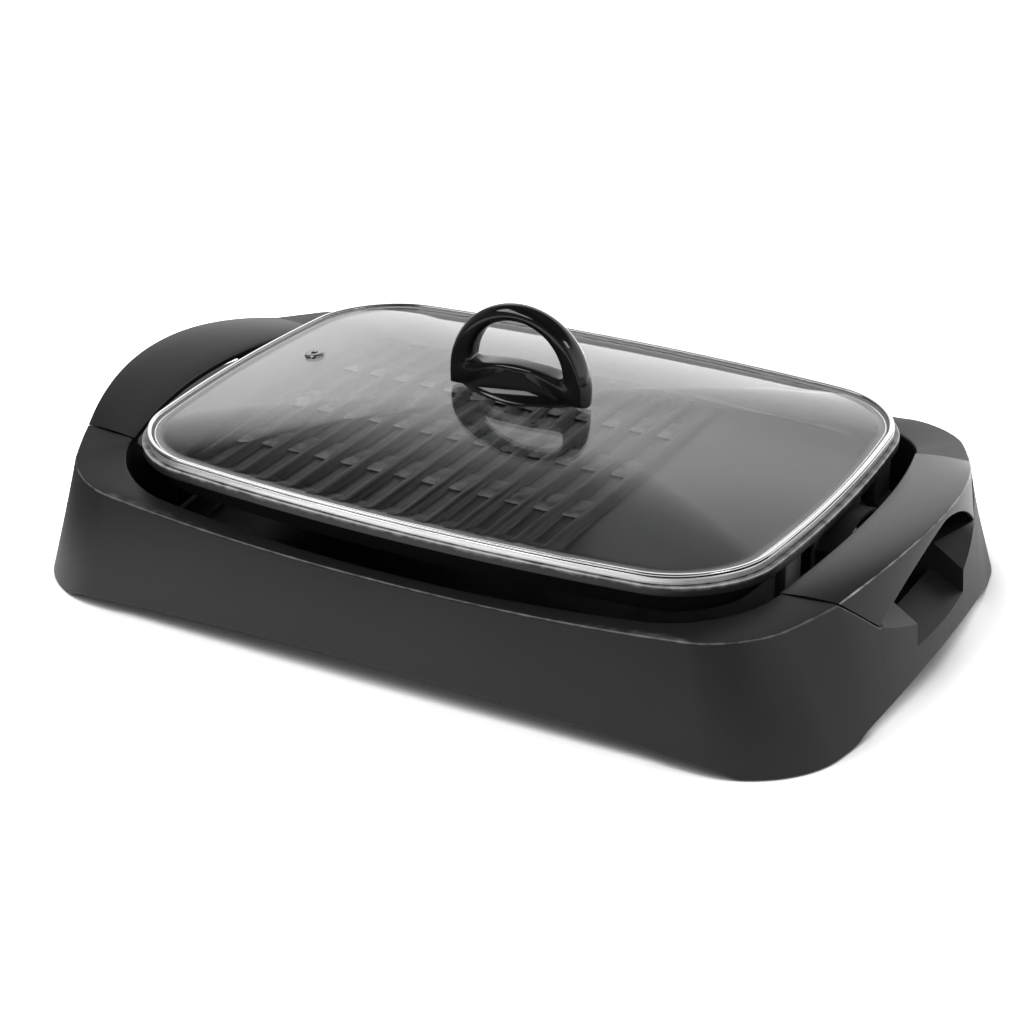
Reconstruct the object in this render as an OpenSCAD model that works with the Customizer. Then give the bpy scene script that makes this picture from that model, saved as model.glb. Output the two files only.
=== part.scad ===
// Tabletop electric grill: plastic base with two bridge handles, lift-out die-cast
// plate with a tubular heater, and a lift-off domed glass lid.
// X runs along the long side, Y to the back, Z up; z = 0 is the table.

/* [Base] */
// Half length of the base's foot outline, before its bow
base_half_x = 229.5; // [215:0.5:245]
// Half depth of the base's foot outline, before its bow
base_half_y = 156; // [150:0.5:170]
// Corner radius of the foot outline
base_corner_r = 44; // [40:1:60]
// How far the base's ends bow out in the middle
base_bow_x = 22; // [12:0.5:30]
// How far the base's long sides bow out in the middle
base_bow_y = 4; // [0:0.5:10]
// How far the top crease lies inside the foot outline at the ends
crease_in_x = 31; // [26:0.5:34]
// How far the top crease lies inside the foot outline along the long sides
crease_in_y = 6.5; // [4:0.5:8]
// Corner radius of the top crease
crease_corner_r = 26; // [20:1:34]
// How far the crease bows out over the handles
crease_bow_x = 49.5; // [44:0.5:56]
// How far the crease bows out along the long sides
crease_bow_y = 6; // [3:0.5:10]
// Height of the crease in the middle of the long sides
crease_low_z = 61; // [56:0.5:66]
// Height of the crease where it meets a handle
joint_z = 75.6; // [72:0.2:80]
// Distance of the handle joints from the middle
joint_y = 94.6; // [88:0.2:98]
// How sharply the crease climbs towards the handles
crease_climb = 2.3; // [1.5:0.1:3.5]
// Height of the raised foot line in the middle of each side
arch_z = 12.5; // [6:0.5:18]
// Height of the raised foot line next to a corner foot
arch_start_z = 4.6; // [2:0.2:7]
// Wall thickness of the base moulding
base_wall = 2.6; // [2:0.1:4]
// Height of the corner feet's plastic edge above the table
foot_edge_z = 0.6; // [0.3:0.1:2]
// Width of the deck between its opening and the crease at the ends
deck_w_x = 15.5; // [12:0.5:18]
// Width of the deck between its opening and the crease along the long sides
deck_w_y = 13.5; // [10:0.5:16]
// Corner radius of the opening in the deck
well_corner_r = 40; // [34:1:41]
// How far the opening bows out at the handles
well_bow_x = 27; // [24:0.5:32]
// How far the opening bows out along the long sides
well_bow_y = 4.5; // [0:0.5:8]
// Height of the well's floor above the table
well_floor_z = 12; // [10:0.5:20]
// How much lower the deck is at the opening than at the crease
deck_fall = 1.8; // [0.5:0.1:4]

/* [Finger scoop and plug channel] */
// Height of the ledge under the handles
ledge_z = 54; // [50:0.5:58]
// Half width of the plug channel
channel_half_y = 34; // [26:0.5:36]
// Height of the channel's floor at its outer lip
channel_lip_z = 28; // [24:0.5:34]
// Height of the channel's floor at its inner edge
channel_floor_z = 38; // [34:0.5:44]
// Height of the sunk floor between the channel and the well
channel_pit_z = 26; // [22:0.5:32]
// Width of the ledge between the deck's opening and the finger scoop
ledge_w = 19.7; // [17:0.1:22]
// Half width of the finger scoop where it meets the ledge
scoop_half_y = 69; // [60:0.5:74]
// Height of the finger scoop's lip at the outer wall
scoop_lip_z = 41.5; // [38:0.5:46]

/* [Handles] */
// How high the handles arch above their joints
handle_rise = 14; // [8:0.5:20]
// How far a handle's inner edge lies inside the crease, before its bow
handle_in_x = 2.3; // [0:0.1:4]
// How far a handle's inner edge bows out
handle_inner_bow = 12.5; // [8:0.5:16]
// How high a handle's inner edge arches above its joints
handle_inner_rise = 7.2; // [3:0.1:12]
// Thickness of the handle's top band
handle_thick = 3.8; // [3:0.1:6]
// Thickness of the handle's outer skirt
skirt_thick = 3.2; // [2.4:0.1:5]
// How far the skirt reaches below the band in the middle of the handle
skirt_drop = 0.8; // [0.4:0.1:4]
// How sharply the skirt's lower edge falls towards the joints
skirt_fall = 1.6; // [1.4:0.1:2.2]
// Gap between a handle and the base moulding
handle_gap = 0.5; // [0.3:0.1:1]
// Diameter of the screw posts under each handle
handle_post_d = 12; // [9:0.5:15]
// Distance of the handle screws from the middle
handle_screw_y = 74; // [70:0.5:76]

/* [Feet and fasteners] */
// Diameter of the rubber feet
foot_d = 16; // [12:0.5:20]
// How far the rubber feet stand up into their cups
foot_h = 5; // [3:0.5:7]
// Shank diameter of the small screws
screw_d = 3.6; // [3:0.1:5]
// Head diameter of the small screws
screw_head_d = 7; // [6:0.1:8]
// Head height of the small screws
screw_head_h = 2.4; // [1.8:0.1:3]

/* [Reflector pan] */
// Sheet thickness of the reflector pan
pan_t = 0.8; // [0.5:0.1:1.5]
// Gap between the pan's rim and the well's wall
pan_gap = 4; // [2:0.5:8]
// Height of the pan's rim above its floor
pan_rim_h = 16; // [8:0.5:24]
// Height of the pads that carry the pan
pan_pad_h = 3; // [2:0.5:8]
// Distance of the pan's screws from the middle, along X
pan_screw_x = 110; // [90:1:125]
// Distance of the pan's screws from the middle, along Y
pan_screw_y = 80; // [60:1:95]

/* [Cooking plate] */
// How far the plate's flange reaches past the opening at the ends, before its bow
plate_over_x = 1; // [-2:0.5:2]
// Gap between the plate's flange and the opening along the long sides
plate_gap_y = 8.5; // [6:0.5:11]
// Corner radius of the plate's flange
plate_corner_r = 45; // [38:1:52]
// How far the plate's ends bow out
plate_bow_x = 10; // [6:0.5:14]
// How far the plate's long sides bow out
plate_bow_y = 13.5; // [9:0.5:16]
// Height of the flange's top face
plate_top_z = 82.5; // [80:0.1:86]
// Height of the flange's outer face
flange_h = 5.3; // [4:0.1:7]
// Width of the flange that carries the lid
flange_w = 12; // [10:0.5:14]
// Depth of the cooking basin below the flange
basin_depth = 16.5; // [12:0.5:20]
// How far the basin's wall leans in
basin_lean = 6; // [3:0.5:10]
// Thickness of the plate's floor
plate_floor_t = 5; // [4:0.1:7]
// Thickness of the basin's wall
plate_wall_t = 4; // [3:0.1:6]
// Distance between the grill ridges
ridge_pitch = 17.4; // [15:0.1:22]
// Width of a ridge at its foot
ridge_w = 9.5; // [7:0.1:11]
// Width of a ridge at its top
ridge_top_w = 4.5; // [2:0.1:6]
// Height of the ridges
ridge_h = 4; // [2.5:0.1:6]
// Distance of the ridge next to the flat griddle from the middle
last_ridge_x = 69.6; // [50:0.1:90]
// Distance between the raised pads along a channel
pad_pitch = 56.5; // [46:0.5:70]
// Length of a raised pad
pad_l = 20.7; // [14:0.1:26]
// Height of a raised pad
pad_h = 1.5; // [0.8:0.1:2.5]
// Place of one row of pads along Y
pad_row_y = 10.6; // [0:0.1:20]

/* [Plate rests] */
// Width of the fins that carry the plate
fin_w = 20; // [14:0.5:24]
// Distance of the fins from the middle
fin_y = 62; // [56:0.5:66]
// Clearance between the fins and the basin's wall
fin_gap = 0.8; // [0.4:0.1:2]

/* [Heating element] */
// Diameter of the heater's sheath
sheath_d = 8; // [6.5:0.1:10]
// Distance between neighbouring heater legs
leg_pitch = 36; // [30:0.5:38]
// How far inside the flange's outline the heater's end bends start
bend_in_x = 62; // [58:1:72]
// How much earlier than the end bends the heater's inner bends start
inner_bend_back = 24; // [22:1:40]
// Width of an element clamp
clamp_w = 12; // [9:0.5:16]
// Sheet thickness of the clamps and the terminal bracket
clamp_t = 1.5; // [1:0.1:2.5]
// Diameter of the terminal pins
pin_d = 4.7; // [4:0.1:6]
// Free length of the terminal pins
pin_free_l = 14; // [12:0.5:15]
// Bore of the temperature probe's sleeve
probe_bore_d = 6.2; // [5:0.1:8]
// Wall of the probe's sleeve
probe_wall = 0.9; // [0.6:0.1:1.5]
// Depth of the probe's sleeve behind the bracket
probe_l = 60; // [40:1:90]
// Half width of the terminal hood
hood_half_y = 30; // [26:0.5:33]
// Radius of the terminal hood's arched top
hood_r = 55; // [45:1:80]
// Wall thickness of the terminal hood
hood_t = 1.6; // [1.2:0.1:2.5]
// Depth of the terminal hood
hood_l = 13.5; // [11:0.5:16]

/* [Lid] */
// How far the lid's rim lies inside the flange's outline at the ends
lid_in_x = 3.7; // [2:0.1:6]
// How far the lid's rim lies inside the flange's outline along the long sides
lid_in_y = 2.4; // [1.2:0.1:5]
// Corner radius of the lid's rim
lid_corner_r = 43; // [36:1:50]
// How far the lid's ends bow out
lid_bow_x = 9.7; // [6:0.1:13]
// How far the lid's long sides bow out
lid_bow_y = 13.4; // [9:0.1:16]
// Height of the rim's rolled bead above the glass
bead_rise = 0.8; // [0.6:0.1:1.4]
// How far the rolled bead reaches in over the glass
bead_w = 1.8; // [1.2:0.1:3]
// Sheet thickness of the rim
rim_t = 0.9; // [0.5:0.1:1.4]
// Gap between the lid and the plate's flange
lid_gap = 0.3; // [0.2:0.1:0.6]
// Thickness of the glass
glass_t = 3.6; // [3:0.1:4]
// Rise of the glass dome
dome_rise = 17.5; // [10:0.5:26]
// Power of the dome's curve
dome_power = 2.2; // [1.6:0.1:3.5]
// Distance of the steam vent from the lid's outline, along X
vent_in_x = 33.3; // [26:0.1:60]
// Distance of the steam vent from the middle, along Y
vent_y = 17; // [0:1:30]
// Outer diameter of the vent grommet
vent_d = 12; // [9:0.5:15]
// Bore of the vent grommet
vent_bore_d = 4; // [2.5:0.1:6]

/* [Knob] */
// Radius of the knob's round outline
knob_r = 43.3; // [38:0.1:46]
// Radius of the finger opening in the knob
knob_hole_r = 29; // [24:0.1:32]
// Height of the knob's solid base
knob_base_h = 14.5; // [12:0.1:18]
// How far the centre of the round outline sits below the finger opening's floor
knob_drop = 6; // [4:0.1:8]
// Depth of the knob's loop from front to back
knob_deep = 14; // [10:0.5:18]
// Depth of the knob's base from front to back
knob_base_deep = 34; // [26:0.5:40]
// Half length of the knob's base
knob_base_half_x = 40; // [34:0.5:43]
// Thickness of the gasket between knob and glass
gasket_t = 1; // [0.6:0.1:2]
// Diameter of the knob's screw
knob_screw_d = 5; // [4:0.1:6]
// Diameter of the washer under the glass
washer_d = 22; // [14:0.5:28]

/* [Hidden] */
$fn = 48;

// A ring is a bowed, rounded rectangle: [half x, half y, corner radius, bow x, bow y].
front_n = 8;
corner_n = 9;
step_n = 2;
side_n = 7;
joint_k = front_n + corner_n + 1;
quarter_n = joint_k + side_n;
ring_n = 4 * quarter_n;

crease_half_x = base_half_x - crease_in_x;
crease_half_y = base_half_y - crease_in_y;
well_half_x = crease_half_x - deck_w_x;
well_half_y = crease_half_y - deck_w_y;
plate_half_x = well_half_x + plate_over_x;
plate_half_y = well_half_y - plate_gap_y;
lid_half_x = plate_half_x - lid_in_x;
lid_half_y = plate_half_y - lid_in_y;
handle_inner_x = crease_half_x - handle_in_x;
channel_inner_x = well_half_x + well_bow_x + ledge_w;
vent_x = vent_in_x - lid_half_x;

base_ring = [base_half_x, base_half_y, base_corner_r, base_bow_x, base_bow_y];
crease_ring = [crease_half_x, crease_half_y, crease_corner_r, crease_bow_x, crease_bow_y];
well_ring = [well_half_x, well_half_y, well_corner_r, well_bow_x, well_bow_y];
plate_ring = [plate_half_x, plate_half_y, plate_corner_r, plate_bow_x, plate_bow_y];
lid_ring = [lid_half_x, lid_half_y, lid_corner_r, lid_bow_x, lid_bow_y];

function inset(ring, d) = [ring[0] - d, ring[1] - d, max(ring[2] - d, 1), ring[3], ring[4]];

// The straight end of a ring starts at the handle joint, or right after its corner, and
// has a station where the base's top reaches the ledge.
function joint_of(ring) = min(joint_y, ring[1] - ring[2] - 1);
function side_y(ring, j) =
    let (y0 = joint_of(ring), y1 = min(scoop_half_y, 0.9 * y0))
    j <= step_n ? lerp(y0, y1, j / step_n) : y1 * (side_n - j) / (side_n - step_n);

// Station k of a quarter, from the middle of a long side to the middle of an end:
// x, y before the bow, and the way run along the outline so far.
function quarter_flat(ring, k) =
    let (hx = ring[0], hy = ring[1], r = ring[2])
    k <= front_n ? let (x = (hx - r) * k / front_n) [x, hy, x]
    : k <= front_n + corner_n ?
        let (a = 90 * (k - front_n) / corner_n)
        [hx - r + r * sin(a), hy - r + r * cos(a), hx - r + r * a * PI / 180]
    : let (y = side_y(ring, k - joint_k)) [hx, y, hx - r + r * PI / 2 + hy - r - y];

function bowed(ring, p) = [
    p[0] + ring[3] * (1 - pow(p[1] / ring[1], 2)),
    p[1] + ring[4] * (1 - pow(p[0] / ring[0], 2))
];

// Station index within its quarter, and the signs of x and y, for point i of a ring.
function quarter_of(i) = floor(i / quarter_n);
function station_of(i) = quarter_of(i) % 2 == 0 ? i % quarter_n : quarter_n - i % quarter_n;
function sign_x(i) = quarter_of(i) < 2 ? 1 : -1;
function sign_y(i) = quarter_of(i) == 0 || quarter_of(i) == 3 ? -1 : 1;

function ring_xy(ring, i) =
    let (p = bowed(ring, quarter_flat(ring, station_of(i))))
    [sign_x(i) * p[0], sign_y(i) * p[1]];

function ring_flat_z(ring, z) = [for (i = [0:ring_n - 1]) [each ring_xy(ring, i), z]];

function lerp(a, b, t) = a + (b - a) * t;

// Height of the rim line of a ring at a station: low in the middle of the long sides,
// climbing round the corner to the handle joint, then arching over the handle.
function rim_z(ring, k) =
    let (p = quarter_flat(ring, k), joint_run = quarter_flat(ring, joint_k)[2])
    k <= joint_k ? lerp(crease_low_z, joint_z, pow(p[2] / joint_run, crease_climb))
    : joint_z + handle_rise * (1 - pow(p[1] / joint_y, 2));

// Height of the foot line: feet at the corners, an arch between them on each side.
foot_l_x = 25.9;
foot_l_y = 59.4;
foot_tip_x = base_half_x - foot_l_x;
foot_tip_y = base_half_y - foot_l_y;
ramp_l = 10;
function arch_height(run, tip) =
    run >= tip ? foot_edge_z
    : run >= tip - ramp_l ? lerp(arch_start_z, foot_edge_z, (run - tip + ramp_l) / ramp_l)
    : arch_start_z + (arch_z - arch_start_z) * (1 - pow(run / (tip - ramp_l), 2));
function foot_z(k) =
    let (p = bowed(base_ring, quarter_flat(base_ring, k)))
    k <= front_n + corner_n / 2 ? arch_height(p[0], foot_tip_x) : arch_height(p[1], foot_tip_y);

// The wall runs straight from the foot line to the rim line; d is the depth inside it.
function foot_point(i, d) = [each ring_xy(inset(base_ring, d), i), foot_z(station_of(i))];
function wall_point(i, d, z) =
    let (a = foot_point(i, d))
    let (b = [each ring_xy(inset(crease_ring, d), i), rim_z(crease_ring, station_of(i))])
    lerp(a, b, (z - a[2]) / (b[2] - a[2]));

// The same wall over an end, at a distance y from the middle and a height z.
function end_x(ring, y) = ring[0] + ring[3] * (1 - pow(y / ring[1], 2));
function end_foot_z(y) = arch_height(abs(y), foot_tip_y);
function end_crease_z(y) = joint_z + handle_rise * (1 - pow(y / joint_y, 2));
function end_wall_x(y, z) = lerp(end_x(base_ring, y), end_x(crease_ring, y),
    (z - end_foot_z(y)) / (end_crease_z(y) - end_foot_z(y)));

// Top of the base moulding: the rim line, stepping down to a ledge under each handle.
step_slope = (joint_z - ledge_z) / (joint_y - scoop_half_y);
function step_z(y) = max(ledge_z, joint_z - (joint_y - y) * step_slope);
function housing_top_z(ring, k) =
    k <= joint_k ? rim_z(ring, k) : step_z(quarter_flat(ring, k)[1]);
function foot_ring(d) = [for (i = [0:ring_n - 1]) foot_point(i, d)];
function wall_ring(d) = [for (i = [0:ring_n - 1])
    wall_point(i, d, housing_top_z(crease_ring, station_of(i)) - d)];
function deck_ring(ring, rise) = [for (i = [0:ring_n - 1])
    [each ring_xy(ring, i), housing_top_z(ring, station_of(i)) + rise]];

// Faces between stacked rings of n points, and the two end caps.
function band(n, a, b) = [for (i = [0:n - 1]) each [
    [a + i, b + i, b + (i + 1) % n],
    [a + i, b + (i + 1) % n, a + (i + 1) % n]
]];
function cap(n, a, up) = [[for (i = [0:n - 1]) a + (up ? n - 1 - i : i)]];

// A closed solid from a list of rings of equal length, capped at both ends.
module ring_stack(rings) {
    n = len(rings[0]);
    m = len(rings);
    polyhedron([for (r = rings) each r],
        [each [for (j = [0:m - 2]) each band(n, j * n, (j + 1) * n)],
         each cap(n, 0, false), each cap(n, (m - 1) * n, true)],
        convexity = 8);
}

// A closed ring-shaped solid: the last ring joins the first.
module ring_torus(rings) {
    n = len(rings[0]);
    m = len(rings);
    polyhedron([for (r = rings) each r],
        [for (j = [0:m - 1]) each band(n, j * n, ((j + 1) % m) * n)], convexity = 8);
}

module mirror_y() {
    children();
    mirror([0, 1, 0]) children();
}

module mirror_x() {
    children();
    mirror([1, 0, 0]) children();
}

// ---- shared pieces ----
fit_gap = 0.05;
screw_gap = 0.2;

module rod_z(d, z0, z1) {
    translate([0, 0, z0]) cylinder(d = d, h = z1 - z0);
}

module rod_x(d, x0, x1) {
    translate([x0, 0, 0]) rotate([0, 90, 0]) cylinder(d = d, h = x1 - x0);
}

// A plate drawn in X and Z, of thickness t along Y, centred on the middle plane.
module slab_y(t) {
    rotate([90, 0, 0]) linear_extrude(height = t, center = true) children();
}

// A screw standing on its head: the head's seat is at z = 0.
module screw_up(d, l, head_d, head_h) {
    rod_z(head_d, -head_h, 0);
    rod_z(d, -head_h / 2, l);
}

// ---- base ----
well_lean = 2.5;
half_wall = base_wall / 2;
foot_in_x = 24.5;
foot_in_y = 37;
corner_foot_x = base_half_x - foot_in_x;
corner_foot_y = base_half_y - foot_in_y;
foot_cup_wall = 2;
web_z = 7.5;
web_t = 3;
web_reach = 37.5;
handle_screw_out = 20;
handle_screw_x = crease_half_x + handle_screw_out;
handle_boss_d = handle_post_d + 2;
handle_boss_h = 12;
handle_post_z = ledge_z + handle_boss_h;
flange_under_z = plate_top_z - flange_h;
fin_neck_z = ledge_z + 6;
fin_wall_z = ledge_z - 4;
pan_z = well_floor_z + pan_pad_h;
pan_boss_d = 11;
pan_boss_z = 5;
pan_screw_l = 8;
past_wall = 8;

module housing_shell() {
    ring_stack([
        ring_flat_z(inset(well_ring, well_lean - base_wall), well_floor_z - base_wall),
        deck_ring(inset(well_ring, -base_wall), -deck_fall - base_wall),
        wall_ring(base_wall),
        foot_ring(base_wall),
        foot_ring(0),
        wall_ring(0),
        deck_ring(well_ring, -deck_fall),
        ring_flat_z(inset(well_ring, well_lean), well_floor_z)
    ]);
}

// The filled body of the base down the middle of its walls.
module housing_core() {
    ring_stack([
        ring_flat_z(inset(base_ring, half_wall), foot_edge_z + 1),
        wall_ring(half_wall),
        deck_ring(inset(well_ring, -half_wall), -deck_fall - half_wall),
        ring_flat_z(inset(well_ring, well_lean - half_wall), well_floor_z - half_wall)
    ]);
}

// The hollow at the terminals' end where fingers reach under the handle.
scoop_in = [channel_inner_x, channel_half_y, ledge_z];
scoop_out = [end_wall_x(channel_half_y, scoop_lip_z), channel_half_y, scoop_lip_z];
scoop_tip = [end_wall_x(scoop_half_y, ledge_z), scoop_half_y, ledge_z];
scoop_fall = scoop_out - scoop_in;
scoop_half = [scoop_in, scoop_tip, scoop_tip + 0.6 * scoop_fall, scoop_in + 1.6 * scoop_fall];
function scoop_outline() = [
    for (p = scoop_half) [p[0], -p[1], p[2]],
    for (i = [0:3]) scoop_half[3 - i]
];
module scoop_block() {
    low = scoop_outline();
    polyhedron([each low, for (p = low) [p[0], p[1], ledge_z + past_wall]],
        [[0, 1, 2, 3], [0, 3, 4, 7], [4, 5, 6, 7], each cap(8, 8, true), each band(8, 0, 8)]);
}

// The slot where the thermostat plug slides in to the terminals.
module channel_block(grow) {
    lip_x = end_wall_x(0, channel_lip_z);
    slope = (channel_floor_z - channel_lip_z) / (lip_x - channel_inner_x);
    in_x = end_x(well_ring, 0) - 2 * past_wall;
    out_x = lip_x + past_wall;
    top_z = ledge_z + past_wall;
    slab_y(2 * (channel_half_y + grow)) polygon([
        [in_x, channel_pit_z - grow],
        [channel_inner_x + grow, channel_pit_z - grow],
        [channel_inner_x + grow, channel_floor_z - (1 + slope) * grow],
        [out_x, channel_floor_z - grow - slope * (out_x - channel_inner_x)],
        [out_x, top_z],
        [in_x, top_z]
    ]);
}

// A fin that carries the cooking plate's flange.
module plate_fin() {
    x_in = end_x(plate_ring, fin_y - fin_w / 2) - flange_w + plate_wall_t + fin_gap;
    x_out = end_x(plate_ring, fin_y + fin_w / 2);
    x_wall = end_x(well_ring, fin_y) + 0.5;
    translate([0, fin_y, 0]) slab_y(fin_w) polygon([
        [x_in, well_floor_z - 1],
        [x_wall - well_lean, well_floor_z - 1],
        [x_wall - 1, fin_wall_z],
        [x_out, fin_neck_z],
        [x_out, flange_under_z],
        [x_in, flange_under_z]
    ]);
}

module corner_web() {
    intersection() {
        translate([corner_foot_x - web_reach, corner_foot_y - web_reach, web_z])
            cube([base_half_x, base_half_y, web_t]);
        housing_core();
    }
}

module base_housing() {
    color([0.22, 0.22, 0.23]) difference() {
        union() {
            housing_shell();
            intersection() {
                housing_core();
                union() {
                    translate([0, 0, -base_wall - 0.4]) scoop_block();
                    channel_block(base_wall);
                }
            }
            mirror_x() mirror_y() {
                corner_web();
                translate([corner_foot_x, corner_foot_y, 0])
                    rod_z(foot_d + 2 * foot_cup_wall, foot_edge_z + 0.6, web_z + web_t);
                translate([handle_screw_x, handle_screw_y, 0])
                    rod_z(handle_boss_d, ledge_z - deck_fall - base_wall, handle_post_z);
                translate([pan_screw_x, pan_screw_y, 0]) rod_z(pan_boss_d, pan_boss_z, pan_z);
                plate_fin();
            }
        }
        scoop_block();
        channel_block(0);
        mirror_x() mirror_y() {
            translate([corner_foot_x, corner_foot_y, 0]) rod_z(foot_d + 2 * fit_gap, -1, foot_h);
            translate([handle_screw_x, handle_screw_y, 0]) {
                rod_z(screw_d + 2 * screw_gap, ledge_z - 1, handle_post_z + 1);
                rod_z(screw_head_d + 2 * screw_gap, ledge_z - past_wall, ledge_z);
            }
            translate([pan_screw_x, pan_screw_y, 0])
                rod_z(screw_d + 2 * fit_gap, pan_z - pan_screw_l - 0.5, pan_z + 1);
        }
    }
}

module rubber_feet() {
    color([0.06, 0.06, 0.06]) mirror_x() mirror_y()
        translate([corner_foot_x, corner_foot_y, 0]) cylinder(d = foot_d, h = foot_h);
}

// ---- handles ----
handle_n = 24;
handle_crown = 0.8;
handle_gap_y = handle_gap * sqrt(1 + 1 / pow(step_slope, 2));
skirt_end_z = ledge_z + handle_gap;
skirt_mid_z = joint_z + handle_rise - handle_thick - skirt_drop;
handle_screw_l = 20;

// Where the handle's sloped end is at height z.
function handle_end_y(z) = scoop_half_y + (z - ledge_z) / step_slope - handle_gap_y;
function handle_edge_x(y) = handle_inner_x + handle_inner_bow * (1 - pow(y / joint_y, 2));
function handle_edge_z(y) = joint_z - deck_fall + handle_inner_rise * (1 - pow(y / joint_y, 2));

// The handle's section at u, from -1 at the front end to 1 at the back end.
function handle_section(u) =
    let (y = u * handle_end_y(joint_z), under_y = u * handle_end_y(joint_z - handle_thick))
    let (skirt_y = u * handle_end_y(skirt_end_z))
    let (skirt_z = lerp(skirt_mid_z, skirt_end_z, pow(abs(u), skirt_fall)))
    let (x0 = handle_edge_x(y), x2 = end_x(crease_ring, y), z0 = handle_edge_z(y))
    let (z2 = end_crease_z(y), z1 = (z0 + z2) / 2, skirt_x = end_wall_x(skirt_y, skirt_z))
    let (u0 = handle_edge_x(under_y), u2 = end_x(crease_ring, under_y) - skirt_thick)
    [
        [x0, y, z0],
        [(x0 + x2) / 2, y, z1 + handle_crown],
        [x2, y, z2],
        [skirt_x, skirt_y, skirt_z],
        [skirt_x - skirt_thick, skirt_y, skirt_z],
        [u2, under_y, z2 - handle_thick],
        [(u0 + u2) / 2, under_y, z1 - handle_thick],
        [u0, under_y, z0 - handle_thick]
    ];

module handle_body() {
    n = 8;
    last = handle_n * n;
    polyhedron([for (j = [0:handle_n]) each handle_section(2 * j / handle_n - 1)],
        [each [for (j = [0:handle_n - 1]) each band(n, j * n, (j + 1) * n)],
         for (k = [0:2]) each [[k, k + 1, 6 - k], [k, 6 - k, 7 - k]],
         for (k = [0:2]) each [
            [last + 6 - k, last + k + 1, last + k], [last + 7 - k, last + 6 - k, last + k]]]);
}

module handle() {
    band_top = (handle_edge_z(handle_screw_y) + end_crease_z(handle_screw_y)) / 2;
    post_top = band_top - handle_thick / 2;
    difference() {
        union() {
            handle_body();
            mirror_y() translate([handle_screw_x, handle_screw_y, 0])
                rod_z(handle_post_d, handle_post_z, post_top);
        }
        mirror_y() translate([handle_screw_x, handle_screw_y, 0])
            rod_z(screw_d + 2 * fit_gap, handle_post_z - 1, ledge_z + handle_screw_l + 0.5);
    }
}

module right_handle() {
    color([0.3, 0.3, 0.31]) handle();
}

module left_handle() {
    color([0.3, 0.3, 0.31]) mirror([1, 0, 0]) handle();
}

module handle_screws() {
    color([0.7, 0.7, 0.72]) mirror_x() mirror_y()
        translate([handle_screw_x, handle_screw_y, ledge_z])
            screw_up(screw_d, handle_screw_l, screw_head_d, screw_head_h);
}

// ---- reflector pan ----
pan_ring = inset(plate_ring, flange_w - plate_wall_t + pan_gap);
pan_lip = 2;
pan_lean = 2;

module reflector_pan() {
    rim_z = pan_z + pan_rim_h;
    color([0.72, 0.73, 0.74]) difference() {
        ring_stack([
            ring_flat_z(inset(pan_ring, pan_lip + pan_lean), pan_z),
            ring_flat_z(inset(pan_ring, pan_lip), rim_z - pan_t),
            ring_flat_z(pan_ring, rim_z - pan_t),
            ring_flat_z(pan_ring, rim_z),
            ring_flat_z(inset(pan_ring, pan_lip + pan_t), rim_z),
            ring_flat_z(inset(pan_ring, pan_lip + pan_lean + pan_t), pan_z + pan_t)
        ]);
        mirror_x() mirror_y() translate([pan_screw_x, pan_screw_y, 0])
            rod_z(screw_d + 2 * screw_gap, pan_z - 1, pan_z + pan_t + 1);
    }
}

module pan_screws() {
    color([0.7, 0.7, 0.72]) mirror_x() mirror_y()
        translate([pan_screw_x, pan_screw_y, pan_z + pan_t]) mirror([0, 0, 1])
            screw_up(screw_d, pan_screw_l, screw_head_d, screw_head_h);
}

// ---- cooking plate ----
plate_floor_z = plate_top_z - basin_depth;
plate_under_z = plate_floor_z - plate_floor_t;
flange_round = 0.8;
floor_ring = inset(plate_ring, flange_w + basin_lean);
ridge_margin = 7;
ridge_count = floor((last_ridge_x + floor_ring[0] - ridge_margin) / ridge_pitch) + 1;
pad_reach = floor_ring[1] + floor_ring[4] - ridge_margin - pad_l / 2;
first_pad_row = ceil((-pad_reach - pad_row_y) / pad_pitch);
last_pad_row = floor((pad_reach - pad_row_y) / pad_pitch);
pad_edge = 1;
element_z = plate_under_z - sheath_d / 2 - fit_gap;
clamp_z = element_z - sheath_d / 2 - fit_gap - clamp_t;
spacer_d = 8;
clamp_inner_y = leg_pitch * 17 / 18;
clamp_outer_y = clamp_inner_y + leg_pitch;
bend_x = plate_half_x - bend_in_x;
inner_bend_x = bend_x - inner_bend_back;
clamp_in_x = 22;
clamp_step_x = 50;
clamp_pitch_x = 120;
outer_clamp_x = bend_x - clamp_in_x;
inner_clamp_x = outer_clamp_x - clamp_step_x;
clamp_screw_l = 12.5;
tab_in_x = 16;
tab_screw_x = plate_half_x - tab_in_x;
tab_screw_y = 34;

function ring_half_y(ring, x) =
    let (c = max(abs(x) - ring[0] + ring[2], 0))
    ring[1] - ring[2] + sqrt(ring[2] * ring[2] - c * c) + ring[4] * (1 - pow(x / ring[0], 2));

module ridge_profile() {
    translate([0, plate_floor_z]) polygon([
        [-ridge_w / 2, -1], [ridge_w / 2, -1], [ridge_w / 2, 0],
        [ridge_w * 0.38, ridge_h * 0.45],
        [ridge_top_w / 2, ridge_h * 0.88],
        [ridge_top_w / 4, ridge_h],
        [-ridge_top_w / 4, ridge_h],
        [-ridge_top_w / 2, ridge_h * 0.88],
        [-ridge_w * 0.38, ridge_h * 0.45],
        [-ridge_w / 2, 0]
    ]);
}

module at_clamps() {
    mirror_y() {
        for (k = [0:1]) {
            translate([inner_clamp_x - k * clamp_pitch_x, clamp_inner_y, 0]) children();
            translate([outer_clamp_x - k * clamp_pitch_x, clamp_outer_y, 0]) children();
        }
    }
}

module at_tab_screws() {
    mirror_y() translate([tab_screw_x, tab_screw_y, 0]) children();
}

module plate_hole() {
    rod_z(screw_d + 2 * fit_gap, plate_under_z - 1, clamp_z + clamp_screw_l + fit_gap);
}

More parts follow.
